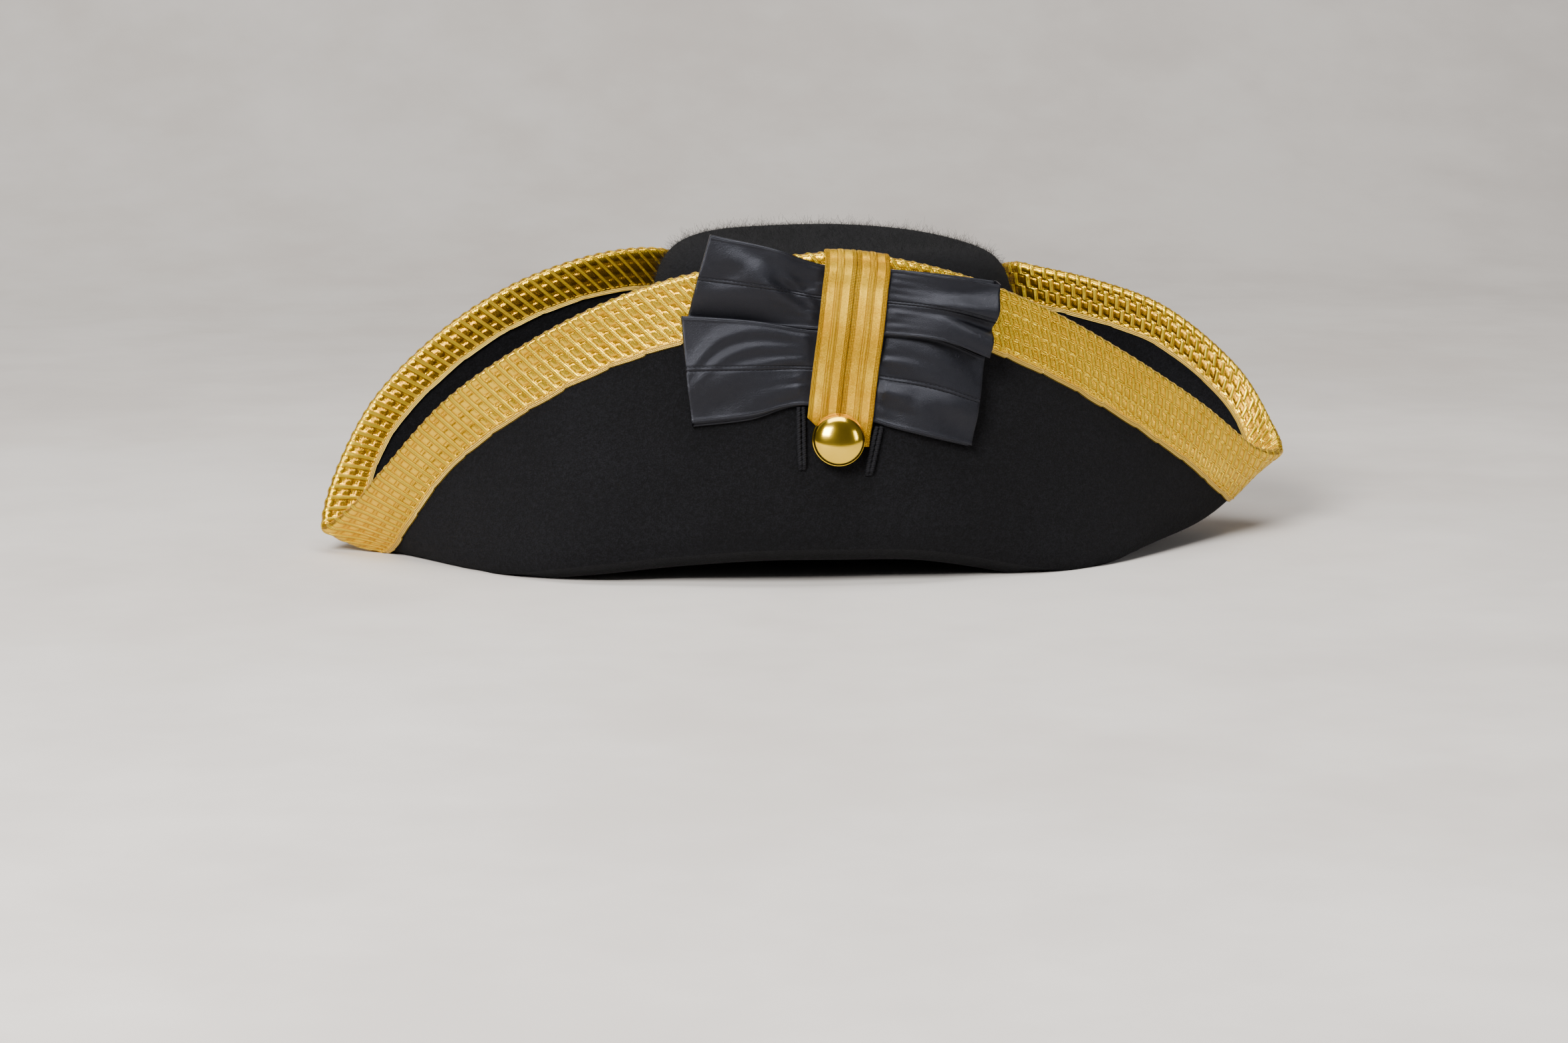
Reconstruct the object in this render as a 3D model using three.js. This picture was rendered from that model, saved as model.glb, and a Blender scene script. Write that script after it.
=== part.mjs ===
// A tricorn hat: felt crown and brim turned up into three flaps, gold braid folded over the
// brim edge, and on the front flap a satin bow held by a gold strap and a brass button.
// Millimetres, Z up. The crown axis is the Z axis, the front flap faces -Y, the two side tips
// point to -X and +X, the third corner to +Y. The hat rests on Z = 0.
import * as THREE from 'three';

// Crown and brim
const crown_width = 177;        // across the crown wall, middle of the felt
const crown_length = 204;       // front to back, middle of the felt
const crown_height = 151.0;     // top of the crown over the resting plane, middle of the felt
const crown_squareness = 6.5;   // how square the shoulder of the crown is
const wall_foot = 0.236;        // height where the wall starts to turn out, share of crown_height
const brim_width = 150;         // from the crown wall to the edge of the brim
const felt_thickness = 3;
// Gold braid folded over the brim edge
const braid_outer = 30;         // leg on the outside of the flaps
const braid_inner = 19;         // leg on the inside of the flaps
const braid_thickness = 0.9;
const seam_gap = 0.3;           // play between two pieces that lie on each other
// Bow, strap, button and cords on the front flap
const ribbon_width = 25;        // a bow band is two ribbons sewn edge to edge
const ribbon_thickness = 0.8;
const strap_width = 15;         // one of the two braids of the strap
const strap_thickness = 1.1;
const strap_inside = 24;        // how far the strap reaches down inside the flap
const button_diameter = 25;
const button_height = 8.5;
const button_shank = 2.8;       // how far the shank holds the button off the strap
const cord_diameter = 2.2;      // one strand, a cord is two strands side by side
const cord_left = 29;           // from the bow's lower border to where the cord goes inside
const cord_right = 22.5;

// Places on the front flap
const button_across = -0.086;   // share of crown_width
const button_up = 0.455;        // share of brim_width
const strap_top_across = -0.019; // share of crown_width

// The brim, a row per radial section around the crown, bearings in degrees from +X.
// out = beyond the crown wall on that bearing, up = over the resting plane, both as shares
// of brim_width. facing = where the flap faces at its edge, lean = how far the edge leans out.
// wall, fold bearing, fold out, fold up, edge bearing, edge out, edge up, facing, lean, parts
const sections = [
  [268, 266.1, 0.102, 0.083, 263.5, 0.026, 1.019, 268, -6, 3],
  [281, 281.2, 0.116, 0.077, 292.3, 0.074, 0.951, 276, -5, 3],
  [293, 295.7, 0.139, 0.040, 315.0, 0.218, 0.821, 287, -3, 3],
  [304, 309.1, 0.228, -0.001, 332.4, 0.402, 0.653, 297, 2, 3],
  [315, 321.7, 0.315, -0.006, 345.5, 0.617, 0.468, 306, 8, 3],
  [326, 333.6, 0.365, 0.060, 354.6, 0.802, 0.302, 312, 18, 3],
  [336, 345.0, 0.410, 0.115, 358.5, 0.896, 0.262, 330, 42, 3],
  [344, 355.6, 0.435, 0.137, 361.5, 0.942, 0.268, 360, 60, 3],
  [352, 364.5, 0.425, 0.117, 363.9, 0.932, 0.332, 390, 40, 2],
  [362, 372.9, 0.364, 0.073, 367.2, 0.840, 0.515, 412, 15, 2],
  [373, 381.3, 0.280, 0.047, 373.6, 0.627, 0.715, 422, 6, 2],
  [383, 388.8, 0.222, 0.030, 380.8, 0.413, 0.805, 420, 2, 2],
  [391, 395.0, 0.198, 0.023, 387.7, 0.248, 0.848, 410, 0, 2],
  [398, 400.1, 0.205, 0.020, 392.3, 0.212, 0.858, 390, -2, 2],
  [407, 407.1, 0.249, 0.020, 402.5, 0.223, 0.818, 380, 0, 2],
  [418, 416.7, 0.324, 0.020, 417.4, 0.316, 0.698, 385, 5, 2],
  [430, 426.6, 0.376, 0.016, 430.4, 0.486, 0.545, 390, 15, 3],
  [440, 435.7, 0.434, 0.001, 440.0, 0.711, 0.372, 410, 35, 3],
  [447, 443.2, 0.449, -0.006, 445.6, 0.872, 0.280, 446, 62, 3],
  [454, 450.7, 0.407, 0.001, 449.7, 0.700, 0.358, 485, 35, 3],
  [463, 460.6, 0.334, 0.015, 457.4, 0.465, 0.512, 505, 15, 2],
  [474, 471.2, 0.292, 0.017, 467.2, 0.278, 0.672, 515, 5, 2],
  [485, 483.5, 0.247, 0.017, 478.7, 0.150, 0.825, 510, 0, 2],
  [496, 494.7, 0.241, 0.017, 494.6, 0.109, 0.913, 492, -2, 2],
  [507, 505.8, 0.288, 0.017, 510.7, 0.278, 0.900, 478, 1, 2],
  [517, 515.9, 0.376, 0.016, 521.5, 0.513, 0.808, 475, 6, 2],
  [527, 524.2, 0.485, 0.015, 528.5, 0.747, 0.647, 482, 14, 2],
  [536, 531.6, 0.595, 0.013, 533.2, 0.939, 0.445, 498, 25, 2],
  [544, 537.6, 0.664, 0.012, 536.9, 1.052, 0.220, 520, 45, 3],
  [551, 543.0, 0.692, 0.011, 539.8, 1.086, 0.082, 545, 60, 3],
  [558, 549.0, 0.691, 0.005, 542.4, 1.017, 0.134, 575, 45, 2],
  [567, 556.1, 0.653, -0.004, 547.1, 0.912, 0.285, 595, 22, 2],
  [578, 565.7, 0.580, -0.001, 555.1, 0.738, 0.535, 603, 12, 2],
  [590, 577.0, 0.467, 0.031, 566.6, 0.513, 0.751, 609, 3, 2],
  [603, 590.2, 0.289, 0.063, 580.9, 0.302, 0.902, 616, -3, 2],
  [616, 607.5, 0.173, 0.085, 599.5, 0.136, 0.982, 622, -5, 2],
];
// Soft dents and swellings of the crown: place across and along as shares of the half sizes,
// depth as a share of crown_height (down is positive), reach as a share of the half width.
const dents = [
  [0.78, 0.10, 0.035, 0.50],
  [0.15, -0.25, 0.014, 0.55],
  [-0.62, 0.20, -0.008, 0.45],
];

const rad = (d) => (d * Math.PI) / 180;
const vec = (x, y, z) => new THREE.Vector3(x, y, z);
const up = vec(0, 0, 1);
const heading = (d) => vec(Math.cos(rad(d)), Math.sin(rad(d)), 0);
const along = (p, v, s) => p.clone().addScaledVector(v, s);
const mix = (a, b, t) => a + (b - a) * t;

// Value at x in rows of a table whose first column grows; parabolas through the rows.
function smooth(rows, x, period) {
  const n = rows.length;
  const row = (i) => {
    const turns = Math.floor(i / n);
    const r = rows[i - turns * n];
    if (!period) return rows[Math.max(0, Math.min(n - 1, i))];
    return [r[0] + turns * period, ...r.slice(1)];
  };
  let k = 0;
  while (row(k + 1)[0] <= x && (period || k < n - 2)) k += 1;
  const slope = (i, c) => (row(i + 1)[c] - row(i)[c]) / (row(i + 1)[0] - row(i)[0]);
  const first = !period && k === 0;
  const last = !period && k === n - 2;
  const h = row(k + 1)[0] - row(k)[0];
  const t = Math.min(1, Math.max(0, (x - row(k)[0]) / h));
  return row(k).map((y0, c) => {
    if (c === 0) return x;
    const y1 = row(k + 1)[c];
    const d = slope(k, c);
    const lean = (i, other) => {
      const a = row(i)[0] - row(i - 1)[0];
      const b = row(i + 1)[0] - row(i)[0];
      return other ? (a * slope(i, c) + b * slope(i - 1, c)) / (a + b) : d;
    };
    const m0 = lean(k, !first) * h;
    const m1 = lean(k + 1, !last) * h;
    const t2 = t * t;
    const t3 = t2 * t;
    const start = (2 * t3 - 3 * t2 + 1) * y0 + (t3 - 2 * t2 + t) * m0;
    return start + (3 * t2 - 2 * t3) * y1 + (t3 - t2) * m1;
  });
}

// Bearings are kept as swings from the wall bearing, so that the table can run round and round.
const swings = sections.map(([wall, fold, foldOut, foldUp, edge, edgeOut, edgeUp, facing, lean]) => (
  [wall, fold - wall, foldOut, foldUp, edge - wall, edgeOut, edgeUp, facing - wall, lean]));

function wallRadius(bearing) {
  const c = Math.cos(rad(bearing)) / (crown_width / 2);
  const s = Math.sin(rad(bearing)) / (crown_length / 2);
  return 1 / Math.sqrt(c * c + s * s);
}

function bezier(a, b, c, d, t) {
  const s = 1 - t;
  return a.clone().multiplyScalar(s * s * s).addScaledVector(b, 3 * s * s * t)
    .addScaledVector(c, 3 * s * t * t).addScaledVector(d, t * t * t);
}

const foot_up = wall_foot * crown_height;
const crown_angles = [18, 32, 40, 45, 50, 60, 90];
const bend_shares = [0.3, 0.6, 0.82, 1];
const flap_shares = [0.18, 0.42, 0.7];
const below_edge = [braid_outer, braid_inner, braid_inner / 2, 0];

// One radial section of the felt, middle of its thickness, from the crown to the brim edge.
function section(wall) {
  const [, foldSwing, foldOut, foldUp, edgeSwing, edgeOut, edgeUp, faceSwing, lean] =
    smooth(swings, wall, 360);
  const place = (bearing, out, rise) =>
    heading(bearing).multiplyScalar(wallRadius(bearing) + out * brim_width).setZ(rise * brim_width);
  const foot = along(heading(wall).multiplyScalar(wallRadius(wall)), up, foot_up);
  const fold = place(wall + foldSwing, foldOut, foldUp);
  const edge = place(wall + edgeSwing, edgeOut, edgeUp);
  const face = heading(wall + faceSwing);
  const edgeWay = face.clone().multiplyScalar(Math.sin(rad(lean))).setZ(Math.cos(rad(lean)));
  const points = crown_angles.map((a) => {
    const s = Math.sin(rad(a));
    const c = Math.max(0, Math.cos(rad(a)));
    const size = (s ** crown_squareness + c ** crown_squareness) ** (1 / crown_squareness);
    const p = heading(wall).multiplyScalar((wallRadius(wall) * s) / size);
    p.z = foot_up + ((crown_height - foot_up) * c) / size;
    return dented(p, c / size);
  });
  const flat = Math.hypot(fold.x - foot.x, fold.y - foot.y);
  const drop = foot.z - fold.z;
  const reach = 0.55 * flat;
  for (const t of bend_shares) {
    points.push(bezier(foot, along(foot, up, -0.55 * drop), along(fold, face, -reach), fold, t));
  }
  const rise = fold.distanceTo(edge);
  const pull = 0.18 * rise;
  const fine = [];
  const lengths = [0];
  for (let i = 0; i <= 32; i += 1) {
    fine.push(bezier(fold, along(fold, face, pull), along(edge, edgeWay, -0.5 * rise), edge, i / 32));
    if (i) lengths.push(lengths[i - 1] + fine[i].distanceTo(fine[i - 1]));
  }
  const total = lengths[32];
  const atLength = (l) => {
    let i = 1;
    while (i < 32 && lengths[i] < l) i += 1;
    return fine[i - 1].clone().lerp(fine[i], (l - lengths[i - 1]) / (lengths[i] - lengths[i - 1]));
  };
  for (const f of flap_shares) points.push(atLength(f * (total - braid_outer)));
  for (const d of below_edge) points.push(d ? atLength(total - d) : edge.clone());
  return { points, edgeWay };
}

function dented(p, height) {
  const q = p.clone();
  for (const [across, length, depth, reach] of dents) {
    const dx = p.x / (crown_width / 2) - across;
    const dy = p.y / (crown_length / 2) - length;
    q.z -= depth * crown_height * Math.exp(-(dx * dx + dy * dy) / (reach * reach)) * height;
  }
  return q;
}

// The bearings of all the sections.
const walls = [];
sections.forEach((r, i) => {
  const next = i + 1 < sections.length ? sections[i + 1][0] : sections[0][0] + 360;
  for (let k = 0; k < r[9]; k += 1) walls.push(mix(r[0], next, k / r[9]));
});
const felt = walls.map(section);
const columns = felt[0].points.length;
const count = felt.length;
const ring = (i) => felt[(i + count) % count];

// Side of the felt that looks up on the crown, and to the crown on the flaps.
const normals = felt.map((s, i) => s.points.map((p, j) => {
  const round = ring(i + 1).points[j].clone().sub(ring(i - 1).points[j]);
  const a = s.points[Math.min(columns - 1, j + 1)];
  const b = s.points[Math.max(0, j - 1)];
  const out = j === columns - 1 ? s.edgeWay.clone() : a.clone().sub(b);
  return out.cross(round).normalize();
}));
const crownTop = dented(vec(0, 0, crown_height), 1);

// A closed solid from a grid of rows; each row is a closed loop of points, rows close too when
// round is true, otherwise the first and the last row are capped on their middle point. flip
// says in which columns the quads are split the other way.
function lathe(rows, round, capStart, capEnd, flip = () => false) {
  const m = rows[0].length;
  const positions = rows.flat().flatMap((p) => [p.x, p.y, p.z]);
  const index = [];
  const last = round ? rows.length : rows.length - 1;
  for (let i = 0; i < last; i += 1) {
    for (let j = 0; j < m; j += 1) {
      const a = i * m + j;
      const b = ((i + 1) % rows.length) * m + j;
      const c = ((i + 1) % rows.length) * m + ((j + 1) % m);
      const d = i * m + ((j + 1) % m);
      if (flip(j)) index.push(a, b, d, b, c, d);
      else index.push(a, b, c, a, c, d);
    }
  }
  if (!round) {
    const cap = (row, base, point, flip) => {
      const mid = point ?? row.reduce((s, p) => s.add(p), vec(0, 0, 0)).multiplyScalar(1 / m);
      positions.push(mid.x, mid.y, mid.z);
      const at = positions.length / 3 - 1;
      for (let j = 0; j < m; j += 1) {
        const a = base + j;
        const b = base + ((j + 1) % m);
        if (flip) index.push(at, b, a);
        else index.push(at, a, b);
      }
    };
    cap(rows[0], 0, capStart, false);
    cap(rows[rows.length - 1], (rows.length - 1) * m, capEnd, true);
  }
  return solid(positions, index);
}

// Geometry with its faces turned outward.
function solid(positions, index) {
  let volume = 0;
  const p = (i) => vec(positions[3 * i], positions[3 * i + 1], positions[3 * i + 2]);
  for (let i = 0; i < index.length; i += 3) {
    volume += p(index[i]).dot(p(index[i + 1]).cross(p(index[i + 2])));
  }
  if (volume < 0) {
    index.reverse();
  }
  const geometry = new THREE.BufferGeometry();
  geometry.setAttribute('position', new THREE.Float32BufferAttribute(positions, 3));
  geometry.setIndex(index);
  geometry.computeVertexNormals();
  return geometry;
}

// Felt: both faces of the sheet, one loop per column, closed on the crown top.
function feltSolid() {
  const side = (j, s) => felt.map((f, i) => {
    const q = along(f.points[j], normals[i][j], (s * felt_thickness) / 2);
    q.z = Math.max(s > 0 ? felt_thickness : 0, q.z);   // pressed flat where it rests
    return q;
  });
  const rows = [];
  for (let j = 0; j < columns; j += 1) rows.push(side(j, 1));
  for (let j = columns - 1; j >= 0; j -= 1) rows.push(side(j, -1));
  const half = felt_thickness / 2;
  return lathe(rows, false, along(crownTop, up, half), along(crownTop, up, -half));
}

// Braid: follows the felt on both sides of the edge.
function braidSolid() {
  const wrap = (i, lift) => {
    const s = felt[i];
    const n = normals[i];
    const e = columns - 1;
    const line = [];
    for (let j = e - 3; j <= e; j += 1) line.push(along(s.points[j], n[j], -lift));
    for (const a of [60, 120]) {
      const side = along(s.points[e], n[e], -lift * Math.cos(rad(a)));
      line.push(along(side, s.edgeWay, lift * Math.sin(rad(a))));
    }
    for (let j = e; j >= e - 2; j -= 1) line.push(along(s.points[j], n[j], lift));
    return line;
  };
  const near = felt_thickness / 2 + seam_gap;
  return lathe(felt.map((s, i) => {
    const loop = [...wrap(i, near), ...wrap(i, near + braid_thickness).reverse()];
    for (const q of loop) q.z = Math.max(seam_gap / 3, q.z);
    return loop;
  }), true, undefined, undefined, (j) => j < 8);
}

// The front flap as a plate: place across and up gives a point in the middle of the felt and
// the way out of the flap. Above the edge the plate is carried on straight.
const front = [];
for (let i = 0; i < count; i += 1) {
  const bearing = ((walls[i] % 360) + 360) % 360;
  if (bearing > 222 && bearing < 318) front.push({ i, bearing });
}
front.sort((a, b) => a.bearing - b.bearing);
const plate = front.map(({ i }) => {
  const line = [];
  for (let j = columns - 7; j < columns; j += 1) line.push({ p: felt[i].points[j], n: normals[i][j] });
  const edge = line[line.length - 1];
  line.push({ p: along(edge.p, felt[i].edgeWay, brim_width / 5), n: edge.n });
  return line;
});

function onFlap(across, rise) {
  const inTriangle = (a, b, c) => {
    const d = (b.p.z - c.p.z) * (a.p.x - c.p.x) + (c.p.x - b.p.x) * (a.p.z - c.p.z);
    const u = ((b.p.z - c.p.z) * (across - c.p.x) + (c.p.x - b.p.x) * (rise - c.p.z)) / d;
    const v = ((c.p.z - a.p.z) * (across - c.p.x) + (a.p.x - c.p.x) * (rise - c.p.z)) / d;
    const w = 1 - u - v;
    if (u < -1e-9 || v < -1e-9 || w < -1e-9) return null;
    const blend = (key) => vec(0, 0, 0).addScaledVector(a[key], u).addScaledVector(b[key], v)
      .addScaledVector(c[key], w);
    return { p: blend('p'), out: blend('n').normalize().negate() };
  };
  for (let i = 0; i + 1 < plate.length; i += 1) {
    for (let j = 0; j + 1 < plate[i].length; j += 1) {
      const hit = inTriangle(plate[i][j], plate[i + 1][j], plate[i + 1][j + 1])
        ?? inTriangle(plate[i][j], plate[i + 1][j + 1], plate[i][j + 1]);
      if (hit) return hit;
    }
  }
  throw new Error(`no front flap at ${across.toFixed(1)}, ${rise.toFixed(1)}`);
}
const lifted = (across, rise, lift) => {
  const { p, out } = onFlap(across, rise);
  return along(p, out, lift);
};

// Height of the brim edge over a place across the front flap.
function edgeAt(across) {
  const e = columns - 1;
  for (let k = 0; k + 1 < front.length; k += 1) {
    const a = front[k].i;
    const b = front[k + 1].i;
    const pa = felt[a].points[e];
    const pb = felt[b].points[e];
    if ((pa.x - across) * (pb.x - across) <= 0) {
      const t = (across - pa.x) / (pb.x - pa.x);
      return {
        p: pa.clone().lerp(pb, t),
        n: normals[a][e].clone().lerp(normals[b][e], t).normalize(),
        way: felt[a].edgeWay.clone().lerp(felt[b].edgeWay, t).normalize(),
      };
    }
  }
  throw new Error('no edge there');
}

const button = { across: button_across * crown_width, up: button_up * brim_width };
const strapTop = strap_top_across * crown_width;
const strapEdge = edgeAt(strapTop).p.z;

// How far the back of a piece stands off the middle of the felt, over the given layers.
const stand = (braids, ribbons) => felt_thickness / 2 + seam_gap
  + braids * (braid_thickness + seam_gap) + ribbons * (ribbon_thickness + seam_gap);

// Bow bands, a row per station from the left end to the right end. Places are measured from
// the strap top at the flap edge, all as shares of ribbon_width: across and up of the lower
// border, across and up of the upper border, rise of the back layer off what it lies on at the
// lower and at the upper border, space inside the loop, how far the back layer is pushed up.
// station, low across, low up, high across, high up, rise low, rise high, open, back up
const upper_bow = [
  [-1.0, -3.12, -1.12, -2.66, 0.45, 0.224, 0.124, 0.196, 0.00],
  [-0.6, -1.88, -1.17, -1.62, 0.21, 0.204, 0.064, 0.216, 0.00],
  [-0.2, -0.78, -1.33, -0.60, -0.12, 0.114, 0.014, 0.006, 0.00],
  [0.0, -0.18, -1.39, -0.02, -0.16, 0.114, 0.014, 0.002, 0.00],
  [0.2, 0.43, -1.44, 0.58, -0.21, 0.114, 0.014, 0.006, 0.00],
  [0.6, 1.40, -1.60, 1.60, -0.38, 0.204, 0.064, 0.196, 0.05],
  [1.0, 2.24, -1.96, 2.58, -0.56, 0.244, 0.114, 0.216, 0.07],
];
const lower_bow = [
  [-1.0, -3.08, -3.06, -3.20, -1.08, 0.032, 0.019, 0.096, -0.05],
  [-0.6, -2.06, -2.92, -2.00, -1.15, 0.022, 0.019, 0.076, -0.05],
  [-0.2, -1.04, -2.71, -0.84, -1.24, 0.012, 0.014, 0.002, 0.00],
  [0.0, -0.38, -2.80, -0.20, -1.30, 0.012, 0.014, 0.002, 0.00],
  [0.2, 0.22, -3.03, 0.38, -1.35, 0.012, 0.014, 0.002, 0.00],
  [0.6, 1.11, -3.30, 1.37, -1.50, 0.022, 0.014, 0.076, 0.00],
  [1.0, 2.02, -3.55, 2.32, -1.92, 0.032, 0.014, 0.096, 0.00],
];

// A flattened loop of ribbon: front layer, round fold, back layer, round fold. Its upper border
// lies on the braid, its lower border on lowBraids layers of braid.
function bowSolid(rows, lowBraids) {
  const seatLow = stand(lowBraids, 0) + ribbon_thickness / 2;
  const seatHigh = stand(1, 0) + ribbon_thickness / 2;
  const across = [0, 0.25, 0.5, 0.75, 1];
  const at = (s, v, lift, shift) => {
    const r = smooth(rows, Math.max(-1, Math.min(1, s)));
    const x = mix(r[1], r[3], v) * ribbon_width;
    const z = (mix(r[2], r[4], v) + shift * r[8]) * ribbon_width;
    return lifted(strapTop + x, strapEdge + z, lift);
  };
  const stations = [-1, -0.8, -0.6, -0.4, -0.2, 0, 0.2, 0.4, 0.6, 0.8, 1];
  const middle = across.map((v) => {
    const loop = [];
    const layer = (s, front) => {
      const r = smooth(rows, s);
      const back = mix(seatLow + r[5] * ribbon_width, seatHigh + r[6] * ribbon_width, v);
      const puff = r[7] * ribbon_width * (1 + 0.3 * Math.sin(Math.PI * v) * Math.abs(s));
      loop.push(at(s, v, front ? back + ribbon_thickness + seam_gap + puff : back, front ? 0 : 1));
    };
    for (const s of stations) layer(s, true);
    for (const s of [...stations].reverse()) layer(s, false);
    const turn = (a, b, inner) => {
      const mid = loop[a].clone().add(loop[b]).multiplyScalar(0.5);
      const out = mid.clone().sub(loop[inner]).normalize();
      const half = loop[a].distanceTo(loop[b]) / 2;
      const side = loop[a].clone().sub(mid);
      return [45, 90, 135].map((d) => (
        along(along(mid, side, Math.cos(rad(d))), out, 0.9 * half * Math.sin(rad(d)))));
    };
    const n = stations.length;
    const right = turn(n - 1, n, n - 2);
    const left = turn(2 * n - 1, 0, 1);
    return [...loop.slice(0, n), ...right, ...loop.slice(n), ...left];
  });
  const m = middle[0].length;
  const skin = (s) => middle.map((loop, k) => loop.map((p, i) => {
    const round = loop[(i + 1) % m].clone().sub(loop[(i + m - 1) % m]);
    const next = middle[Math.min(across.length - 1, k + 1)][i];
    const over = next.clone().sub(middle[Math.max(0, k - 1)][i]);
    return along(p, round.cross(over).normalize(), (s * ribbon_thickness) / 2);
  }));
  const rows2 = [...skin(1), ...skin(-1).reverse()];
  return lathe(rows2, true);
}

// What the strap lies on, by its way down from the flap edge: way and rise as shares of
// ribbon_width, layers of braid and of ribbon under it.
const strap_bed = [
  [0, 0, 1, 0],
  [0.12, 0.024, 1, 2],
  [0.56, 0.068, 1, 2],
  [1.08, 0.132, 1, 2],
  [1.48, 0.132, 1, 2],
  [1.92, 0.048, 1, 2],
  [2.48, 0.048, 0, 2],
  [3.00, 0.028, 0, 2],
  [3.20, 0.032, 0, 0],
  [3.32, 0.024, 0, 0],
  [4.80, 0.024, 0, 0],
];
function strapStand(down) {
  const [, rise, braids, ribbons] = smooth(strap_bed, down / ribbon_width);
  return stand(braids, ribbons) + rise * ribbon_width;
}

// Way down from the flap edge to the strap's slanted end, as shares of strap_width beyond the
// button's middle: outer border, middle, border at the slit.
const strap_end = {
  left: [-0.667, -0.233, 0.2],
  right: [0.067, 0.133, 0.2],
};
// One braid of the strap: from inside the flap over its edge and down to the button.
function strapSolid(side) {
  const half = strap_width / 2;
  const centre = side * (half + seam_gap / 2);
  const rows = [];
  const drop = strapEdge - button.up;
  const slope = (strapTop - button.across) / drop;
  const lineAt = (down, off, lift) => {
    const x = strapTop + centre + off - slope * down;
    const e = edgeAt(strapTop + centre + off);
    return lifted(x, e.p.z - down, lift);
  };
  const row = (place) => {
    const loop = [];
    for (const off of [-half, 0, half]) loop.push(place(off, 0));
    for (const off of [half, 0, -half]) loop.push(place(off, strap_thickness));
    rows.push(loop);
  };
  const near = stand(1, 0);
  const over = (angle) => (off, t) => {
    const e = edgeAt(strapTop + centre + off);
    const r = near + t;
    return along(along(e.p, e.n, -r * Math.cos(rad(angle))), e.way, r * Math.sin(rad(angle)));
  };
  for (const down of [1, 0.5]) {
    row((off, t) => {
      const e = edgeAt(strapTop + centre + off);
      return along(along(e.p, e.n, near + t + seam_gap * down), e.way, -strap_inside * down);
    });
  }
  for (const a of [180, 120, 60, 0]) row(over(a));
  const slant = side < 0 ? strap_end.left : strap_end.right;
  for (const share of [0.035, 0.16, 0.31, 0.43, 0.56, 0.72, 0.87, 0.93, 1]) {
    row((off, t) => {
      const down = share * (drop + slant[1 - Math.sign(side * off)] * strap_width);
      return lineAt(down, off, strapStand(down) + t);
    });
  }
  return lathe(rows, false);
}

// Domed button, turned about the way out of the flap.
// Shares of the button's radius and height, below 0 of the shank's length.
const button_profile = [
  [0.30, -1], [0.30, 0], [0.93, 0], [0.99, 0.10], [1.0, 0.22],
  [0.95, 0.42], [0.82, 0.66], [0.60, 0.86], [0.32, 0.97],
];
function buttonSolid() {
  const { p, out } = onFlap(button.across, button.up);
  const foot = strapStand(strapEdge - button.up) + strap_thickness + seam_gap;
  const base = along(p, out, foot + button_shank);
  const a = vec(1, 0, 0).addScaledVector(out, -out.x).normalize();
  const b = out.clone().cross(a);
  const rows = button_profile.map(([r, h]) => {
    const loop = [];
    for (let k = 0; k < 24; k += 1) {
      const t = rad(15 * k);
      const c = along(base, out, h < 0 ? h * button_shank : h * button_height);
      const reach = (r * button_diameter) / 2;
      loop.push(along(along(c, a, reach * Math.cos(t)), b, reach * Math.sin(t)));
    }
    return loop;
  });
  return lathe(rows, false, along(p, out, foot), along(base, out, button_height));
}

// Height of the bow's lower border over a place across, lowest within a cord's width.
function bowFoot(across) {
  let low = Infinity;
  for (let s = -1; s <= 1; s += 0.02) {
    const r = smooth(lower_bow, s);
    if (Math.abs(strapTop + r[1] * ribbon_width - across) < 1.5 * cord_diameter) {
      low = Math.min(low, strapEdge + (r[2] + Math.min(0, r[8])) * ribbon_width);
    }
  }
  return low;
}

// Two strands side by side, from the bow's lower border to where they go through the felt.
function cordSolid(x0, x1, length) {
  const rows = [];
  const z0 = bowFoot(x0) - 2 * seam_gap;
  const steps = 8;
  const shape = [];
  for (let k = 0; k < 12; k += 1) {
    const t = rad(30 * k + 15);
    const lobe = Math.cos(t) < 0 ? -1 : 1;
    const waist = Math.abs(Math.cos(t)) < 0.3 ? 0.31 : 0.525;
    shape.push([lobe * 0.5 + 0.54 * Math.cos(t), waist * Math.sin(t)]);
  }
  for (let i = 0; i <= steps; i += 1) {
    const t = i / steps;
    const dive = t > 0.9 ? -0.15 : 0;
    rows.push(shape.map(([u, v]) => lifted(
      mix(x0, x1, t) + u * cord_diameter,
      z0 - length * t,
      stand(0, 0) + cord_diameter * (0.53 + v + dive * v),
    )));
  }
  return lathe(rows, false);
}

const cloth = (color, rough) => new THREE.MeshStandardMaterial({ color, roughness: rough, metalness: 0 });
const metal = (color, rough) => new THREE.MeshStandardMaterial({ color, roughness: rough, metalness: 1 });
const group = new THREE.Group();
group.name = 'tricorn_hat';
function add(name, geometry, material) {
  const mesh = new THREE.Mesh(geometry, material);
  mesh.name = name;
  group.add(mesh);
}
add('felt_body', feltSolid(), cloth(0x17181a, 0.95));
add('edge_braid', braidSolid(), cloth(0xd9a83a, 0.45));
add('upper_ribbon', bowSolid(upper_bow, 1), cloth(0x20212b, 0.4));
add('lower_ribbon', bowSolid(lower_bow, 0), cloth(0x20212b, 0.4));
add('strap_left', strapSolid(-1), cloth(0xdcae40, 0.45));
add('strap_right', strapSolid(1), cloth(0xdcae40, 0.45));
add('button', buttonSolid(), metal(0xd8a83c, 0.12));
// The cords start and end beside the button, places as shares of its diameter.
const beside = (share) => button.across + share * button_diameter;
const leftCord = cordSolid(beside(-0.656), beside(-0.66), cord_left);
const rightCord = cordSolid(beside(0.80), beside(0.58), cord_right);
add('tie_cord_left', leftCord, cloth(0x14151a, 0.7));
add('tie_cord_right', rightCord, cloth(0x14151a, 0.7));

export default group;
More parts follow.
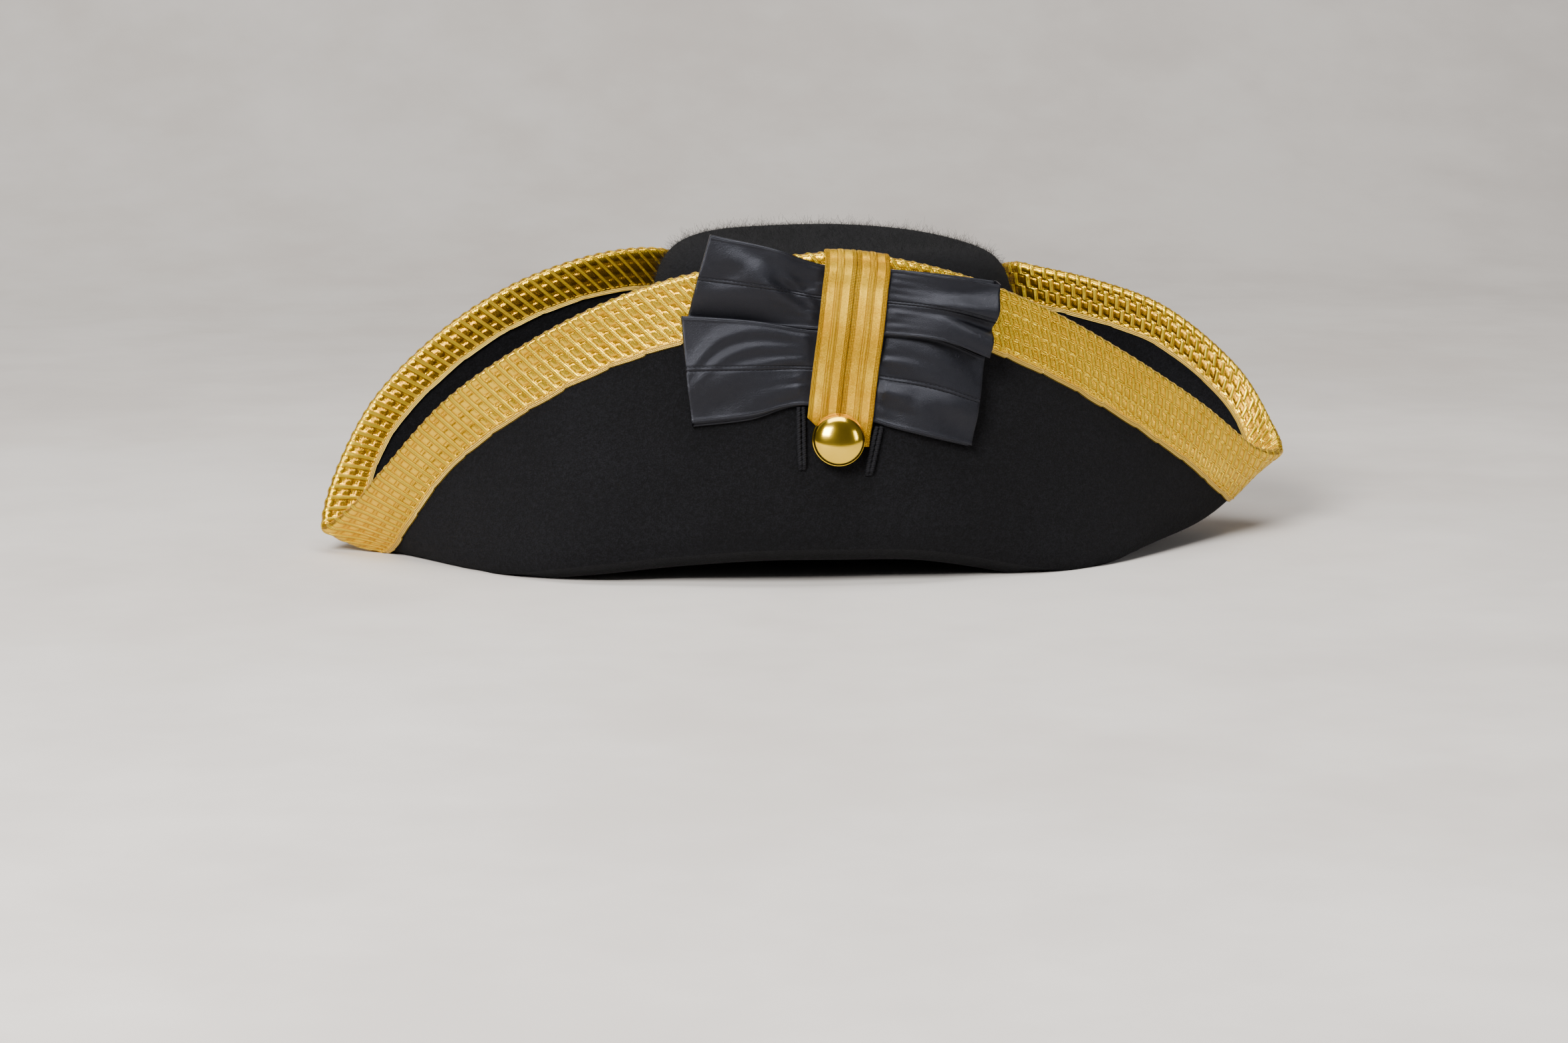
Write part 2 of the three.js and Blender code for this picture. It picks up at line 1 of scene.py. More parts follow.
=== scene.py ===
# A black felt tricorn hat: gold braid folded over the brim edge, and on the front flap a satin
# bow under a gold strap, a brass button and two short cords. Shapes are worked out in
# millimetres, in the frame's own axes, and every mesh is made in metres.
import math

import bpy
import numpy as np
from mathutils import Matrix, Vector
from mathutils.bvhtree import BVHTree


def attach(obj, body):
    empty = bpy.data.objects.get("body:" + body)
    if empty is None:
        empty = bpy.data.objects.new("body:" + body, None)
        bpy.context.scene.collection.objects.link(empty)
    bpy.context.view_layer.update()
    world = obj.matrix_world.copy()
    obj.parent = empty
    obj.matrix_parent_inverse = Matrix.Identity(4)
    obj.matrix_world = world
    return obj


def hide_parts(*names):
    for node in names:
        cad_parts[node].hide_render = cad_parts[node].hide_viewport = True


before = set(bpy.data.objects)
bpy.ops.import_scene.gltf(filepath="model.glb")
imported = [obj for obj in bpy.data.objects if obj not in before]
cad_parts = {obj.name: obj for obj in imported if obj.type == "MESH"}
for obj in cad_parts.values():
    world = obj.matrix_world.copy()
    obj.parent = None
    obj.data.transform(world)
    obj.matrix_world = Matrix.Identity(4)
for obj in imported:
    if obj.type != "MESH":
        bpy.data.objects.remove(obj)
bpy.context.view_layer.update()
mm = 0.001
turn = 2 * math.pi

# Crown and brim
crown_width = 177.0
crown_length = 204.0
crown_height = 151.0
crown_squareness = 8.0
wall_foot = 0.236               # share of crown_height
brim_width = 150.0
felt_thickness = 3.0
# Loose fibres of the felt, in metres
fibre_density = 160000.0        # per square metre
fibre_length = 0.0031
fibre_radius = 3.2e-5
fibre_bend = 0.0050
# Gold braid over the brim edge, and its weave
braid_outer = 30.0
braid_inner = 19.0
braid_thickness = 0.9
seam_gap = 0.3                  # between neighbouring pieces
tape_pitch = 6.0                # between ropes along the tape
rope_half = 1.25
bead_pitch = 0.72
selvedge_cord = 0.85            # a cord of the border
weave_step = 0.62               # between points of the mesh along the tape
sewing_inset = 3.0              # of the sewing lines from the borders
# Bow, strap, button and cords
ribbon_width = 25.0
ribbon_thickness = 0.8
seam_lap = 3.0                  # the upper ribbon of a band is sewn over the lower one
satin_thickness = 0.45          # the cloth itself, inside the ribbon's room
strap_width = 15.0
strap_thickness = 1.1
strap_inside = 24.0
button_diameter = 25.0
button_height = 8.5
button_shank = 2.8
cord_diameter = 2.2
cord_lay = 2.6                  # along a strand, for one turn of its plies
cord_left = 29.0
cord_right = 22.5
button_across = -0.086 * crown_width
button_up = 0.455 * brim_width
strap_top = -0.019 * crown_width
band_width = 2 * ribbon_width - seam_lap

# The brim, a row per radial section: wall bearing, fold bearing, fold out, fold up, edge
# bearing, edge out, edge up, facing, lean. Out and up are shares of brim_width.
sections = [
    (268, 266.1, 0.102, 0.083, 263.5, 0.026, 1.019, 268, -6),
    (281, 281.2, 0.116, 0.077, 292.3, 0.074, 0.951, 276, -5),
    (293, 295.7, 0.139, 0.040, 315.0, 0.218, 0.821, 287, -3),
    (304, 309.1, 0.228, -0.001, 332.4, 0.402, 0.653, 297, 2),
    (315, 321.7, 0.315, -0.006, 345.5, 0.617, 0.468, 306, 8),
    (326, 333.6, 0.365, 0.060, 354.6, 0.802, 0.302, 312, 18),
    (336, 345.0, 0.410, 0.115, 358.5, 0.896, 0.262, 330, 42),
    (344, 355.6, 0.435, 0.137, 361.5, 0.942, 0.268, 360, 60),
    (352, 364.5, 0.425, 0.117, 363.9, 0.932, 0.332, 390, 40),
    (362, 372.9, 0.364, 0.073, 367.2, 0.840, 0.515, 412, 15),
    (373, 381.3, 0.280, 0.047, 373.6, 0.627, 0.715, 422, 6),
    (383, 388.8, 0.222, 0.030, 380.8, 0.413, 0.805, 420, 2),
    (391, 395.0, 0.198, 0.023, 387.7, 0.248, 0.848, 410, 0),
    (398, 400.1, 0.205, 0.020, 392.3, 0.212, 0.858, 390, -2),
    (407, 407.1, 0.249, 0.020, 402.5, 0.223, 0.818, 380, 0),
    (418, 416.7, 0.324, 0.020, 417.4, 0.316, 0.698, 385, 5),
    (430, 426.6, 0.376, 0.016, 430.4, 0.486, 0.545, 390, 15),
    (440, 435.7, 0.434, 0.001, 440.0, 0.711, 0.372, 410, 35),
    (447, 443.2, 0.449, -0.006, 445.6, 0.872, 0.280, 446, 62),
    (454, 450.7, 0.407, 0.001, 449.7, 0.700, 0.358, 485, 35),
    (463, 460.6, 0.334, 0.015, 457.4, 0.465, 0.512, 505, 15),
    (474, 471.2, 0.292, 0.017, 467.2, 0.278, 0.672, 515, 5),
    (485, 483.5, 0.247, 0.017, 478.7, 0.150, 0.825, 510, 0),
    (496, 494.7, 0.241, 0.017, 494.6, 0.109, 0.913, 492, -2),
    (507, 505.8, 0.288, 0.017, 510.7, 0.278, 0.900, 478, 1),
    (517, 515.9, 0.376, 0.016, 521.5, 0.513, 0.808, 475, 6),
    (527, 524.2, 0.485, 0.015, 528.5, 0.747, 0.647, 482, 14),
    (536, 531.6, 0.595, 0.013, 533.2, 0.939, 0.445, 498, 25),
    (544, 537.6, 0.664, 0.012, 536.9, 1.052, 0.220, 520, 45),
    (551, 543.0, 0.692, 0.011, 539.8, 1.086, 0.082, 545, 60),
    (558, 549.0, 0.691, 0.005, 542.4, 1.017, 0.134, 575, 45),
    (567, 556.1, 0.653, -0.004, 547.1, 0.912, 0.285, 595, 22),
    (578, 565.7, 0.580, -0.001, 555.1, 0.738, 0.535, 603, 12),
    (590, 577.0, 0.467, 0.031, 566.6, 0.513, 0.751, 609, 3),
    (603, 590.2, 0.289, 0.063, 580.9, 0.302, 0.902, 616, -3),
    (616, 607.5, 0.173, 0.085, 599.5, 0.136, 0.982, 622, -5),
]
# Soft dents of the crown: place across and along, depth, reach, as shares of its sizes.
dents = [(0.78, 0.10, 0.020, 0.50), (0.15, -0.25, 0.014, 0.55), (-0.62, 0.20, -0.008, 0.45)]


def smooth(rows, x, period=None):
    """Rows of a table at x, with parabolas through the rows; the first column grows."""
    t = np.asarray(rows, float)
    x = np.asarray(x, float)
    if period:
        before, after = t[-2:].copy(), t[:3].copy()
        before[:, 0] -= period
        after[:, 0] += period
        x = t[0, 0] + (x - t[0, 0]) % period
        t = np.vstack([before, t, after])
    gap = np.diff(t[:, 0])
    slope = np.diff(t, axis=0) / gap[:, None]
    middle = gap[:-1, None] * slope[1:] + gap[1:, None] * slope[:-1]
    lean = np.vstack([slope[:1], middle / (gap[:-1] + gap[1:])[:, None], slope[-1:]])
    k = np.clip(np.searchsorted(t[:, 0], x, side="right") - 1, 0, len(t) - 2)
    h = gap[k][..., None]
    s = np.clip((x - t[k, 0])[..., None] / h, 0, 1)
    start = (2 * s ** 3 - 3 * s ** 2 + 1) * t[k] + (s ** 3 - 2 * s ** 2 + s) * lean[k] * h
    return start + (3 * s ** 2 - 2 * s ** 3) * t[k + 1] + (s ** 3 - s ** 2) * lean[k + 1] * h


def ramp(x, low, high):
    """0 below low, 1 above high, smooth between."""
    t = np.clip((np.asarray(x, float) - low) / (high - low), 0, 1)
    return t * t * (3 - 2 * t)


def unit(v):
    return v / np.linalg.norm(v, axis=-1, keepdims=True)


def run_of(line):
    """Way along a line of points, at each of them."""
    return np.r_[0, np.cumsum(np.linalg.norm(np.diff(line, axis=0), axis=1))]


def all_walls(step):
    """Bearings once around the hat."""
    return sections[0][0] + np.arange(round(360 / step)) * step


def heading(bearing):
    a = np.radians(bearing)
    return np.stack([np.cos(a), np.sin(a), np.zeros_like(a)], -1)


def wall_radius(bearing):
    a = np.radians(bearing)
    return 1 / np.hypot(np.cos(a) / (crown_width / 2), np.sin(a) / (crown_length / 2))


def bezier(a, b, c, d, t):
    t = np.asarray(t, float)[None, :, None]
    a, b, c, d = (p[:, None, :] for p in (a, b, c, d))
    return a * (1 - t) ** 3 + b * 3 * t * (1 - t) ** 2 + c * 3 * t ** 2 * (1 - t) + d * t ** 3


swings = np.array(sections, float)
swings[:, [1, 4, 7]] -= swings[:, :1]
foot_up = wall_foot * crown_height


def brim_frame(wall):
    """Foot of the wall, fold, edge, facing and the way the flap runs at its edge."""
    row = smooth(swings, wall, 360)

    def place(bearing, out, rise):
        p = heading(bearing) * (wall_radius(bearing) + out * brim_width)[:, None]
        p[:, 2] = rise * brim_width
        return p

    foot = heading(wall) * wall_radius(wall)[:, None]
    foot[:, 2] = foot_up
    fold = place(wall + row[:, 1], row[:, 2], row[:, 3])
    edge = place(wall + row[:, 4], row[:, 5], row[:, 6])
    face = heading(wall + row[:, 7])
    lean = np.radians(row[:, 8])
    way = face * np.sin(lean)[:, None]
    way[:, 2] = np.cos(lean)
    return foot, fold, edge, face, way


def crown_line(wall, angles):
    a = np.radians(np.asarray(angles, float))
    s, c = np.sin(a), np.maximum(0, np.cos(a))
    size = (s ** crown_squareness + c ** crown_squareness) ** (1 / crown_squareness)
    p = heading(wall)[:, None, :] * (wall_radius(wall)[:, None] * (s / size))[..., None]
    p[..., 2] = foot_up + (crown_height - foot_up) * c / size
    for across, length, depth, reach in dents:
        dx = p[..., 0] / (crown_width / 2) - across
        dy = p[..., 1] / (crown_length / 2) - length
        hollow = np.exp(-(dx ** 2 + dy ** 2) / reach ** 2) * (c / size)
        p[..., 2] -= depth * crown_height * hollow
    return p


def bend_line(wall, shares):
    """Points from the foot of the wall to the fold of the brim."""
    foot, fold, _, face, _ = brim_frame(wall)
    flat = np.hypot(fold[:, 0] - foot[:, 0], fold[:, 1] - foot[:, 1])
    low = foot.copy()
    low[:, 2] -= 0.55 * (foot[:, 2] - fold[:, 2])
    return bezier(foot, low, fold - face * (0.55 * flat)[:, None], fold, shares)


def flap_points(wall, shares, below):
    """Points on the flaps: shares of the way up to the braid, then distances below the edge."""
    _, fold, edge, face, way = brim_frame(wall)
    rise = np.linalg.norm(fold - edge, axis=1)[:, None]
    line = bezier(fold, fold + face * 0.18 * rise, edge - way * 0.5 * rise, edge,
                  np.linspace(0, 1, 65))
    steps = np.linalg.norm(np.diff(line, axis=1), axis=2)
    run = np.concatenate([np.zeros((len(line), 1)), np.cumsum(steps, 1)], 1)
    total = run[:, -1:]
    up_flap = np.asarray(shares, float)[None] * (total - braid_outer)
    want = np.concatenate([up_flap, total - np.asarray(below, float)[None]], 1)
    out = np.empty((len(wall), want.shape[1], 3))
    for i in range(len(wall)):
        for c in range(3):
            out[i, :, c] = np.interp(want[i], run[i], line[i, :, c])
    return out, way


def side_normals(grid, way):
    """The side of the felt that looks up on the crown and to the crown on the flaps."""
    around = np.roll(grid, -1, 0) - np.roll(grid, 1, 0)
    out = np.gradient(grid, axis=1)
    out[:, -1] = way
    return unit(np.cross(out, around))


# Meshes
def grid_faces(rows, columns, round_rows=False, round_columns=False):
    """Quads between points that are numbered row by row."""
    i = np.arange(rows if round_rows else rows - 1)[:, None]
    j = np.arange(columns if round_columns else columns - 1)[None, :]
    i2, j2 = (i + 1) % rows, (j + 1) % columns
    quads = [i * columns + j, i2 * columns + j, i2 * columns + j2, i * columns + j2]
    return np.stack([q + 0 * i + 0 * j for q in quads], -1).reshape(-1, 4).tolist()


def tube_faces(rows, size):
    """Rings of points joined to a tube that is closed at both ends."""
    faces = grid_faces(rows, size, round_columns=True)
    faces.append(list(range(size)))
    faces.append(list(range((rows - 1) * size, rows * size))[::-1])
    return faces


def dome_faces(rows, size):
    """Rings of points that close on two more points, beyond the first ring and the last."""
    faces = grid_faces(rows, size, round_columns=True)
    ring = np.arange(size)
    last = ring + (rows - 1) * size
    faces += np.stack([ring, np.roll(ring, -1), np.full(size, rows * size)], -1).tolist()
    faces += np.stack([np.roll(last, -1), last, np.full(size, rows * size + 1)], -1).tolist()
    return faces


def outward(points, faces):
    """The faces of a closed mesh, turned to point out of it."""
    p = np.asarray(points)
    volume = 0.0
    for size in sorted({len(f) for f in faces}):
        f = np.array([g for g in faces if len(g) == size])
        for k in range(1, size - 1):
            volume += np.einsum("ij,ij->i", p[f[:, 0]], np.cross(p[f[:, k]], p[f[:, k + 1]])).sum()
    return faces if volume > 0 else [f[::-1] for f in faces]


def add_object(name, data):
    made = bpy.data.objects.new(name, data)
    bpy.context.scene.collection.objects.link(made)
    return made


def make_piece(name, points, faces, finish, cloth=None, marks=None):
    """A closed mesh from points in mm; cloth is their place on the flat cloth, along and across."""
    points = np.reshape(points, (-1, 3))
    mesh = bpy.data.meshes.new(name)
    mesh.from_pydata((points * mm).tolist(), [], outward(points, faces))
    if cloth is not None:
        corner = np.empty(len(mesh.loops), dtype=np.int32)
        mesh.loops.foreach_get("vertex_index", corner)
        flat = np.stack(np.broadcast_arrays(*cloth), -1).reshape(-1, 2).astype(np.float32)
        layer = mesh.uv_layers.new(name="cloth")
        layer.data.foreach_set("uv", flat[corner].ravel())
    for key, values in (marks or {}).items():
        mark = mesh.attributes.new(key, "FLOAT", "POINT")
        mark.data.foreach_set("value", np.asarray(values, dtype=np.float32).ravel())
    mesh.materials.append(finish)
    mesh.polygons.foreach_set("use_smooth", [True] * len(mesh.polygons))
    mesh.update()
    return add_object(name, mesh)


def settle(piece, slot, *nodes):
    """The piece rides on the hat and stands for its CAD nodes; slot is not used."""
    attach(piece, "root")
    if nodes:
        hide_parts(*nodes)
    return piece


# Nodes
def put(tree, socket, value):
    """Gives a socket a value, or links it to another socket."""
    if isinstance(value, Number):
        value = value.socket
    if isinstance(value, bpy.types.NodeSocket):
        tree.links.new(value, socket)
    elif value is not None:
        socket.default_value = value


def add_node(tree, kind, inputs, output, settings):
    """Adds a node: its settings first, then the values or links of its sockets."""
    made = tree.nodes.new(kind)
    for key, value in settings.items():
        setattr(made, key, value)
    for key, value in dict(inputs).items():
        put(tree, made.inputs[key], value)
    return made.outputs[output]


# Finishes
class Number:
    """A number that varies over a surface; arithmetic on it adds Math nodes."""

    def __init__(self, finish, socket):
        self.finish = finish
        self.socket = socket

    def __add__(self, other):
        return self.finish.math("ADD", self, other)

    def __sub__(self, other):
        return self.finish.math("SUBTRACT", self, other)

    def __rsub__(self, other):
        return self.finish.math("SUBTRACT", other, self)

    def __mul__(self, other):
        return self.finish.math("MULTIPLY", self, other)

    def __mod__(self, other):
        return self.finish.math("FLOORED_MODULO", self, other)

    def __abs__(self):
        return self.finish.math("ABSOLUTE", self)

    __radd__ = __add__
    __rmul__ = __mul__


class Finish:
    """A node material with one Principled shader."""

    def __init__(self, name, **constants):
        self.material = bpy.data.materials.new(name)
        self.material.use_nodes = True
        self.tree = self.material.node_tree
        self.shader = self.tree.nodes["Principled BSDF"]
        for key, value in constants.items():
            self.shader.inputs[key.replace("_", " ")].default_value = value

    def node(self, kind, inputs=(), output=0, **settings):
        return Number(self, add_node(self.tree, "ShaderNode" + kind, inputs, output, settings))

    def math(self, operation, *values):
        return self.node("Math", enumerate(values), operation=operation)

    def sine(self, value):
        return self.math("SINE", value)

    def arches(self, value, pitch):
        """Rises from 0 to 1 and falls back once per pitch."""
        return abs(self.sine(value * (math.pi / pitch)))

    def waves(self, value, pitch, wander=0.0):
        return 0.5 + 0.5 * self.sine(value * (turn / pitch) + wander)

    def least(self, a, b):
        return self.math("MINIMUM", a, b)

    def most(self, a, b):
        return self.math("MAXIMUM", a, b)

    def between(self, value, low, high):
        """0 below low and 1 above high."""
        return self.node("MapRange", {0: value, 1: low, 2: high, 3: 0.0, 4: 1.0},
                         interpolation_type="SMOOTHSTEP")

    def band(self, value, a, b, c, d):
        """1 from b to c, and 0 below a and above d."""
        return self.between(value, a, b) * (1.0 - self.between(value, c, d))

    def mix(self, share, a, b):
        """Two colours mixed."""
        wide = [(*c, 1) if isinstance(c, tuple) and len(c) == 3 else c for c in (a, b)]
        return self.node("Mix", {0: share, 6: wide[0], 7: wide[1]}, output=2, data_type="RGBA")

    def place(self):
        """Place on the hat, in metres."""
        return self.node("TexCoord", output=3)

    def noise(self, scale, detail=3.0, rough=0.55, where=None):
        return self.node("TexNoise", {"Vector": where or self.place(), "Scale": scale,
                                      "Detail": detail, "Roughness": rough})

    def mark(self, name):
        """A number that the mesh carries."""
        return self.node("Attribute", output=2, attribute_name=name)

    def cloth(self):
        """Place on the flat cloth, in mm: along and across."""
        flat = self.node("UVMap", uv_map="cloth")
        return [self.node("SeparateXYZ", {0: flat}, output=k) for k in (0, 1)]

    def bump(self, height, depth, strength=1.0, after=None):
        """Relief of the given depth, in mm, for a height from 0 to 1."""
        return self.node("Bump", {"Strength": strength, "Distance": depth * mm, "Height": height,
                                  "Normal": after})

    def wear(self, colour, rough=None, normal=None):
        """Links what varies to the shader."""
        for key, value in (("Base Color", colour), ("Roughness", rough), ("Normal", normal)):
            put(self.tree, self.shader.inputs[key], value)
        return self.material


def felt_finish(name, dark, light, nap, sheen):
    f = Finish(name, Specular_IOR_Level=0.18, Sheen_Weight=sheen, Sheen_Roughness=0.45,
               Sheen_Tint=(0.55, 0.6, 0.75, 1))
    fine = f.noise(1500, 5, 0.75)
    cloud = f.noise(24, 3, 0.5)
    hairs = f.noise(520, 5, 0.7)
    shade = f.between(fine * 0.7 + hairs * 0.3 + (cloud - 0.5) * 0.10, 0.43, 0.62)
    relief = fine * 0.8 + hairs * 0.9
    return f.wear(f.mix(shade, dark, light), 0.88 + fine * 0.12, f.bump(relief, nap))


def braid_finish():
    """Gold braid: ropes of two beaded threads, short bars, satin floats and a corded selvedge."""
    f = Finish("gold_braid", Metallic=0.94, Specular_IOR_Level=0.5)
    along, across = f.cloth()
    rope, bar, hem, steep = (f.mark(name) for name in ("rope", "bar", "hem", "steep"))
    on_hem = 1.0 - f.between(hem, 2.1, 2.7)
    body = 1.0 - on_hem
    on_rope = (1.0 - f.between(rope, 1.02, 1.22)) * body
    free = (1.0 - on_rope) * body
    on_bar = f.band(bar, 0.15, 0.3, 0.8, 0.95) * (1.0 - steep) * free
    # painted shadow: dashes beside the bars of steep rows, darkened below with the grooves
    dash = f.band(bar, 0.36, 0.5, 1.15, 1.45) * f.between(rope, 1.6, 1.85)
    float_part = free * (1.0 - on_bar)
    column = 1.0 - f.between(abs(rope - 0.55), 0.22, 0.50)
    dot = column * f.between(f.arches(across, bead_pitch), 0.10, 0.65)
    cords = f.arches(hem, selvedge_cord)
    twist = f.arches(along + hem * 0.8, 0.9)
    thread = f.waves(along * 0.55 + across * 0.15, 0.30, f.noise(240, 2) * 3.0)
    grain = f.noise(1500, 3, 0.6)
    relief = (on_rope * (0.10 + 0.90 * dot) + on_bar * (0.7 + 0.3 * grain)
              + on_hem * cords * (0.5 + 0.5 * twist) + float_part * (thread * 0.16 + grain * 0.12))
    cloud = f.between(f.noise(60, 3, 0.6), 0.3, 0.7)
    tone = f.mix(cloud, (0.69, 0.36, 0.005), (0.91, 0.545, 0.014))
    # painted highlight: the middles of the satin floats are mixed toward a light gold, as if lit
    centre = f.between(bar, 1.4, 2.4) * f.between(rope, 1.5, 2.2)
    tone = f.mix(centre * 0.5, tone, (1.0, 0.70, 0.045))
    # painted shade: on the inner leg, which faces the black felt, the floats are darkened as if
    # shaded by it and mirroring it
    inside = 1.0 - f.between(across, -7.0, -2.5)
    tone = f.mix(inside * f.between(bar, 1.0, 1.8) * 0.72, tone, (0.30, 0.125, 0.004))
    # painted shade and highlight: the beads of the ropes are light and the gaps between them dark
    tone = f.mix(on_rope, tone, f.mix(dot, (0.40, 0.18, 0.003), (1.0, 0.73, 0.040)))
    # painted highlight: the short bars are mixed toward a light gold
    tone = f.mix(on_bar * 0.8, tone, (1.0, 0.72, 0.045))
    # painted shade: the selvedge is dark between its cords and light on their crests
    tone = f.mix(on_hem, tone, f.mix(cords * (0.6 + 0.4 * twist), (0.50, 0.26, 0.015),
                                     (0.95, 0.70, 0.16)))
    tone = f.mix(f.band(hem, 2.3, 2.8, 3.8, 4.6) * f.noise(900, 2) * 0.9, tone, (1.0, 0.62, 0.012))
    # painted shade: the grooves beside the ropes and around the bars, and the dashes of steep rows,
    # are darkened
    beside = f.band(rope, 1.10, 1.22, 1.30, 1.60)
    inner = 1.0 - f.between(bar, 0.05, 0.2)
    around = (inner + f.band(bar, 0.9, 1.0, 1.1, 1.3)) * (1.0 - steep) + dash * steep
    groove_shade = f.most(beside * 0.7, around) * float_part
    tone = f.mix(groove_shade * (0.45 + cloud * 0.4), tone, (0.34, 0.125, 0.002))
    rough = 0.19 + on_rope * 0.09 + on_hem * 0.14 + grain * 0.08
    return f.wear(tone, rough, f.bump(relief, 0.42))


def strap_finish():
    """Gold braid with lengthwise bands: beaded borders, a plaited middle and satin between."""
    f = Finish("gold_strap", Metallic=0.9, Specular_IOR_Level=0.5)
    along, across = f.cloth()
    side = abs(across)
    border = f.between(side, 5.0, 5.35)
    middle = 1.0 - f.between(side, 1.35, 1.65)
    satin = (1.0 - border) * (1.0 - middle)
    grain = f.noise(1700, 3, 0.6)
    beads = f.arches(across, bead_pitch) * f.arches(along, 0.7)
    plait = abs(f.sine(along * (math.pi / 0.62) + f.sine(across * (turn / 1.5)) * 1.3))
    threads = f.waves(across, 0.30, f.noise(160, 2) * 2.5)
    relief = border * beads + middle * plait * 0.9 + satin * (0.30 * threads + 0.50 * grain)
    tone = f.mix(f.between(f.noise(60, 3, 0.6) * 0.5 + grain * 0.5, 0.38, 0.62),
                 (0.66, 0.34, 0.006), (0.97, 0.62, 0.026))
    # painted shade: the gaps between the border beads and between the plaits are darkened
    tone = f.mix((border + middle) * (1.0 - f.most(beads * border, plait * middle)), tone,
                 (0.20, 0.09, 0.003))
    seam = f.band(side, 1.45, 1.6, 1.75, 2.0)
    tone = f.mix(seam * 0.8, tone, (0.26, 0.11, 0.008))
    rough = 0.32 + (border + middle) * 0.1 + grain * 0.12
    return f.wear(tone, rough, f.bump(relief, 0.40))


def thread_finish():
    f = Finish("gold_thread", Metallic=0.8)
    twist = f.noise(2400, 2, 0.6)
    tone = f.mix(twist, (0.75, 0.40, 0.008), (1.0, 0.70, 0.03))
    return f.wear(tone, 0.34 + twist * 0.15, f.bump(twist, 0.08))


def satin_finish():
    f = Finish("black_satin", Specular_IOR_Level=0.40, Specular_Tint=(0.82, 0.85, 1.0, 1))
    along, across = f.cloth()
    twill = f.waves(along + across * 0.6, 0.42)
    soft = f.noise(75, 3, 0.55)
    hem = f.least(across % (band_width / 2), (0.0 - across) % (band_width / 2))
    line = f.band(hem, 0.75, 0.95, 1.05, 1.3)
    tone = f.mix(f.noise(900, 3, 0.6), (0.0010, 0.0010, 0.0016), (0.0030, 0.0030, 0.0044))
    near = f.bump(twill * 0.6 + f.noise(1800, 3, 0.7) * 1.7 - line * 1.5, 0.10)
    return f.wear(tone, 0.27 + soft * 0.10, f.bump(soft, 0.55, 0.5, near))


def brass_finish():
    f = Finish("polished_brass", Metallic=1.0)
    cloud = f.noise(90, 4, 0.6)
    scratch = f.noise(900, 2, 0.7)
    tone = f.mix(cloud, (0.92, 0.58, 0.035), (0.97, 0.67, 0.065))
    return f.wear(tone, 0.10 + cloud * 0.12, f.bump(scratch, 0.01, 0.4))


def cord_finish():
    f = Finish("black_cord", Specular_IOR_Level=0.2)
    along, across = f.cloth()
    ply = f.waves(along, 1.1, across * (turn * 2))
    # painted shade: the grooves between the twisted plies are darker than their crests
    tone = f.mix(ply, (0.0010, 0.0010, 0.0016), (0.0060, 0.0060, 0.0085))
    return f.wear(tone, 0.8 + ply * 0.1, f.bump(ply, 0.12))


felt = felt_finish("black_felt", (0.0004, 0.0004, 0.0008), (0.0078, 0.0078, 0.0104), 1.5, 0.01)
fibre = felt_finish("felt_fibre", (0.0018, 0.0019, 0.0020), (0.022, 0.023, 0.0225), 0.03, 0.01)
gold_braid = braid_finish()
gold_strap = strap_finish()
gold_thread = thread_finish()
satin = satin_finish()
brass = brass_finish()
black_cord = cord_finish()


# Felt
def felt_body():
    walls = all_walls(0.75)
    angles = np.concatenate([np.linspace(2, 34, 13), np.linspace(36, 54, 22),
                             np.linspace(57, 90, 10)])
    bends = np.linspace(0.06, 1, 20)
    shares = np.linspace(0.05, 0.97, 22)
    below = np.linspace(braid_outer, 0, 11)
    flap, way = flap_points(walls, shares, below)
    grid = np.concatenate([crown_line(walls, angles), bend_line(walls, bends), flap], 1)
    normals = side_normals(grid, way)
    swell = (np.sin(grid[..., 0] / 13 + 1) * np.sin(grid[..., 1] / 17) * np.sin(grid[..., 2] / 15))
    upper = grid + normals * (felt_thickness / 2 + 0.25 * swell)[..., None]
    lower = grid - normals * (felt_thickness / 2 - 0.15 * swell)[..., None]
    upper[..., 2] = np.maximum(felt_thickness, upper[..., 2])
    lower[..., 2] = np.maximum(0, lower[..., 2])
    inside = np.unique(np.r_[0:grid.shape[1]:2, grid.shape[1] - 1])[::-1]
    rings = np.concatenate([upper, lower[:, inside]], 1)
    rows = rings.shape[1]
    n = len(walls)
    top = crown_line(np.array([0.0]), [0.01])[0, 0]
    half = np.array([0, 0, felt_thickness / 2])
    points = np.vstack([rings.transpose(1, 0, 2).reshape(-1, 3), top + half, top - half])
    # how much loose fibre stands on each ring: most on the crown, little on the flaps
    nap = np.zeros((rows, n))
    crown = len(angles)
    nap[:crown] = np.interp(angles, [0, 60, 90], [1, 1, 0.5])[:, None]
    nap[crown:crown + len(bends)] = 0.1
    nap[grid.shape[1]:] = 0.16
    nap[grid.shape[1]:grid.shape[1] + 6] = 0
    low = rows - (crown + 1) // 2
    nap[low:] = 0
    nap[rings[..., 2].T < 7] = 0
    marks = {"nap": np.r_[nap.ravel(), 1.0, 0.0]}
    return make_piece("felt_shape", points, dome_faces(rows, n), felt, marks=marks)


# Braid
braid_lift = felt_thickness / 2 + seam_gap + 0.55
braid_seat = felt_thickness / 2 + 0.12
half_wrap = math.pi / 2 * braid_lift
# How the weave lies by the way along the edge: slant of the ropes, step from a rope to the next
# row's in pitches, height of a row.
tape_lie = [
    (0, 0.72, 0.90, 6.6), (60, 0.50, 0.72, 6.0), (120, 0.34, 0.66, 5.8), (190, 0.14, 0.66, 5.8),
    (300, 0.05, 0.60, 6.0), (400, 0.00, 0.55, 6.2), (520, 0.30, 0.60, 6.4), (660, 0.95, 1.00, 7.0),
    (820, 1.05, 1.00, 7.0), (960, 0.90, 1.00, 7.0), (1130, 0.74, 1.00, 7.0),
    (1250, 0.72, 1.00, 7.2), (1400, 0.78, 1.00, 7.2),
]


